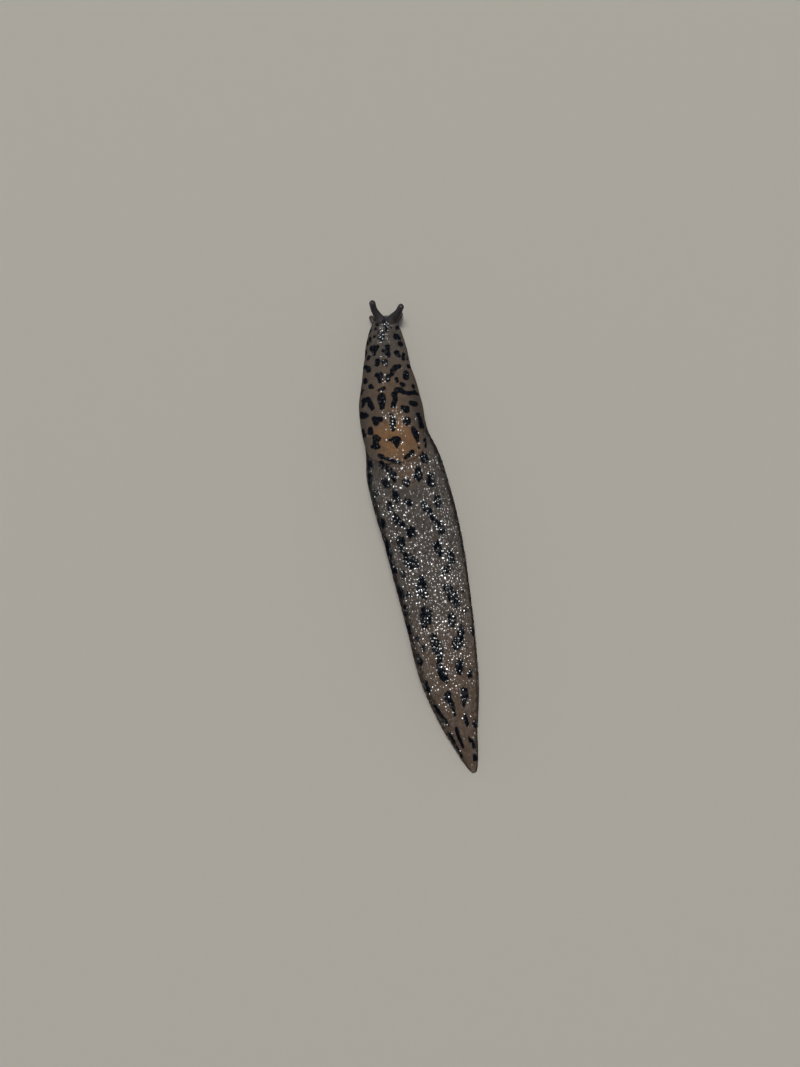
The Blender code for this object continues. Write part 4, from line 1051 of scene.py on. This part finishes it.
def slugSkin():
    # Wet slug skin, as living tissue under a film of mucus: the film gives small sharp glints on
    # every tubercle, and the tissue below is matt, soft and a little translucent
    f = skinFinish
    material, tree = emptyMaterial("wet slug skin")
    place = addNode(tree, "TexCoord").outputs["Object"]

    def value(name):
        return addNode(tree, "Attribute", attribute_name=name).outputs["Fac"]

    def number(operation, first, second=0.5, third=0.5):
        links = {0: first, 1: second, 2: third}
        return addNode(tree, "Math", links, operation=operation).outputs[0]

    def spread(source, low, high, start=0.0, end=1.0):
        links = {"Value": source, "From Min": low, "From Max": high, "To Min": start, "To Max": end}
        return addNode(tree, "MapRange", links, interpolation_type="SMOOTHSTEP").outputs[0]

    def over(share, below, tone):  # a colour laid over another one
        links = {0: share, 6: below, 7: linear(f[tone]) if isinstance(tone, str) else tone}
        return addNode(tree, "Mix", links, data_type="RGBA").outputs[2]

    def cloud(size, detail=3.0, rough=0.5):
        links = {"Vector": place, "Scale": 1 / size, "Detail": detail, "Roughness": rough}
        return addNode(tree, "TexNoise", links).outputs["Fac"]

    def tissueColour():
        patches, mottle = cloud(f["patches"]), cloud(f["mottling"])
        layers = [
            (value("brown"), "brown"),
            (value("warm"), "shield"),
            (number("MULTIPLY", value("tan"), spread(patches, 0.25, 0.6, 0.75, 1.0)), "tan"),
            (spread(mottle, 0.3, 0.75, 0.0, 0.45), "mottle"),
            (spread(patches, 0.45, 0.8, 0.0, 0.25), "paler"),
            (spread(value("lot"), -1.0, 1.0, 0.0, 0.28), "palest"),
            # painted shade in the grooves between the tubercles, where the skin is low
            (spread(value("height"), 0.7, 0.1, 0.0, 0.6), "groove"),
            # dark band along the edges, part dark skin and part painted shade, and painted shade on the
            # mantle's right side
            (number("MULTIPLY", value("darkBandAndShade"), 0.55), "darkBandAndShade"),
            (number("MULTIPLY", value("slate"), 0.9), "slate"),
            (number("MULTIPLY", marking(), 0.98), "mark"),
        ]
        colour = linear(f["grey"])
        for share, tone in layers:
            colour = over(share, colour, tone)
        foot = over(spread(mottle, 0.35, 0.7), linear(f["fringe"]), "fringeDark")
        return over(value("foot"), colour, over(value("sole"), foot, "sole"))

    def marking():  # the marks with ragged edges, and the blotched dark band along the body's edges, part dark skin and part painted shade
        ragged = number("MULTIPLY_ADD", cloud(f["raggedness"], 4.0, 0.6), 0.9, -0.45 - f["markGrowth"])
        marked = spread(number("ADD", value("mark"), ragged), f["markEdge"], -f["markEdge"])
        blotch = number("MULTIPLY", number("SUBTRACT", cloud(f["blotches"]), 0.5), 1.2)
        return number("MAXIMUM", marked, spread(number("ADD", value("darkBandAndShade"), blotch), 0.45, 1.05, 0.0, 0.45))

    def grainNormal():  # ridges of the mantle and the grain of the skin
        ridge = number("SINE", number("MULTIPLY", value("ridges"), 2 * math.pi * mm / f["ridge"]))
        ridge = number("MULTIPLY", ridge, value("shield"))
        fine = number("MULTIPLY", cloud(f["grain"], 2.0), 0.8)
        relief = number("ADD", number("MULTIPLY", ridge, 0.16), fine)
        relief = number("ADD", relief, number("MULTIPLY", cloud(f["pits"], 2.0), 0.9))
        links = {"Height": relief, "Strength": 0.55, "Distance": f["relief"]}
        return addNode(tree, "Bump", links).outputs["Normal"]

    # The film stands in rounded beads, and each bead gives one glint
    lattice = addNode(tree, "CombineXYZ", {"X": value("across"), "Y": value("along")}).outputs[0]
    cells = addNode(tree, "TexVoronoi", {"Vector": lattice, "Scale": 1.0}, voronoi_dimensions="2D")
    lots = addNode(tree, "SeparateColor", {0: cells.outputs["Color"]}).outputs
    least, added = film["dome"]
    steep = number("MULTIPLY_ADD", lots[1], added, least)
    steep = number("MULTIPLY", steep, value("steepness"))
    rounded = number("MULTIPLY", number("POWER", cells.outputs["Distance"], 2.0), steep)
    beaded = addNode(tree, "Bump", {"Height": rounded, "Strength": 1.0, "Distance": mm})
    # Each bead is wet or has dried, and the flanks are evenly moist
    wet = spread(number("ADD", value("wet"), lots[0]), 0.95, 1.05, film["dried"], 1.0)
    wet = number("MAXIMUM", wet, number("MULTIPLY", value("flank"), f["flankSheen"]))

    addShader(tree, {
        "Base Color": tissueColour(),
        "Roughness": f["roughness"],
        "Specular IOR Level": 0.0,
        "Subsurface Weight": 0.08,
        "Subsurface Radius": (1.0, 0.75, 0.6),
        "Subsurface Scale": 0.0008,
        "Coat Weight": wet,
        "Coat Roughness": f["coatRoughness"],
        "Coat IOR": 1.4,
        "Normal": grainNormal(),
        "Coat Normal": beaded.outputs["Normal"],
    })
    return material


eyes = dict(radius=0.5, ahead=0.46, black="#060607", brown="#15130f")  # ahead of the tentacle's tip


def eyeFinish():
    # A wet black bead under clear skin: dark with one sharp glint
    material, tree = emptyMaterial("wet black eye")
    place = addNode(tree, "TexCoord").outputs["Object"]
    cloudy = addNode(tree, "TexNoise", {"Vector": place, "Scale": 3000.0, "Detail": 2.0}).outputs["Fac"]
    links = {0: cloudy, 6: linear(eyes["black"]), 7: linear(eyes["brown"])}
    addShader(tree, {
        "Base Color": addNode(tree, "Mix", links, data_type="RGBA").outputs[2],
        "Roughness": 0.15,
        "IOR": 1.38,
        "Coat Weight": 1.0,
        "Coat Roughness": 0.03,
    })
    return material


# Pieces

flesh = ["head", "neck", "trunk", "mantle", "back_front", "back_middle", "back_rear", "tail"]
flesh += ["foot_front", "foot_middle", "foot_rear"]
flesh += ["upper_tentacle_left", "upper_tentacle_right", "lower_tentacle_left", "lower_tentacle_right"]


def makeSkin():
    skin = makePatch("body", body)
    print("body patch", len(skin.data.polygons))
    patches = [makePatch("mantle", mantle, wraps=False)]
    patches += [makePatch(name, lips if "lip" in name else tentacles) for name in smallNames]
    joinPatches(skin, patches)
    blendSeams(skin)
    paintSkin(skin)
    skin.name = "skin"
    skin.data.name = "skin"
    skin.data.materials.clear()
    skin.data.materials.append(slugSkin())
    skin.data.shade_smooth()
    skin.data.calc_loop_triangles()
    print("skin triangles", len(skin.data.loop_triangles))
    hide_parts(*flesh)
    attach(skin, "root")


def makeEyes():
    finish = eyeFinish()
    for side in ("Left", "Right"):
        path = tentacles["upper" + side]
        tip = smoothLine(path, np.array([1.0]))[0]
        ahead = tip - smoothLine(path, np.array([0.96]))[0]
        centre = tip + ahead / np.linalg.norm(ahead) * eyes["ahead"]
        bm = bmesh.new()
        bmesh.ops.create_icosphere(bm, subdivisions=4, radius=eyes["radius"] * mm)
        bmesh.ops.translate(bm, verts=bm.verts, vec=Vector(centre * mm))
        eye = addObject("eye" + side, meshOf(bm, "eye" + side))
        eye.data.shade_smooth()
        eye.data.materials.append(finish)
        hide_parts("eye_" + side.lower())
        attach(eye, "root")


# Floor, light and camera

stage = dict(
    floorColour="#c2bdb3",
    floorSize=6.0,
    sky=(0.94, 0.97, 1.0, 1.0),
    horizon=0.4,  # pale near the horizon and dim overhead
    overhead=0.15,
    softBox=((-0.3, 1.5, 5.8), 1.8, 205.0),  # place, size and power
    spark=((-0.1, 0.8, 5.8), 0.5, 1600.0),
)


def makeFloor():
    bm = bmesh.new()
    bmesh.ops.create_grid(bm, x_segments=1, y_segments=1, size=stage["floorSize"])
    material, tree = emptyMaterial("plain pale floor")
    addShader(tree, {"Base Color": linear(stage["floorColour"]), "Roughness": 0.8, "Specular IOR Level": 0.0})
    mesh = meshOf(bm, "floor")
    mesh.materials.append(material)
    addObject("floor", mesh)


def makeSky():
    scene.view_settings.view_transform = "Standard"
    world = bpy.data.worlds.new("studio")
    scene.world = world
    world.use_nodes = True
    tree = world.node_tree
    background = tree.nodes["Background"]
    background.inputs["Color"].default_value = stage["sky"]
    direction = addNode(tree, "TexCoord").outputs["Generated"]
    rise = addNode(tree, "SeparateXYZ", {0: direction}).outputs["Z"]
    links = {"Value": rise, "From Max": 0.7, "To Min": stage["horizon"], "To Max": stage["overhead"]}
    strength = addNode(tree, "MapRange", links).outputs[0]
    tree.links.new(strength, background.inputs["Strength"])


def makeLamp(name, place, size, power):
    lamp = bpy.data.lights.new(name, "AREA")
    lamp.shape = "DISK"
    lamp.size = size
    lamp.energy = power
    holder = addObject(name, lamp)
    holder.location = place
    holder.rotation_euler = (-Vector(place)).to_track_quat("-Z", "Y").to_euler()
    return holder


def makeLights():
    makeLamp("soft box", *stage["softBox"]).visible_glossy = False  # lights the colours only
    makeLamp("spark", *stage["spark"]).visible_diffuse = False  # makes the wet glints only


def makeCamera():
    camera = bpy.data.cameras.new("camera")
    camera.lens = view["lens"]
    camera.sensor_width = view["sensor"]
    camera.clip_start = 0.01
    scene.camera = addObject("camera", camera)
    scene.camera.location = (view["x"] * mm, view["y"] * mm, view["height"] * mm)


makeCamera()
makeSkin()
print("skin made")
makeEyes()
print("eyes made")
makeFloor()
makeSky()
makeLights()
print("stage made")
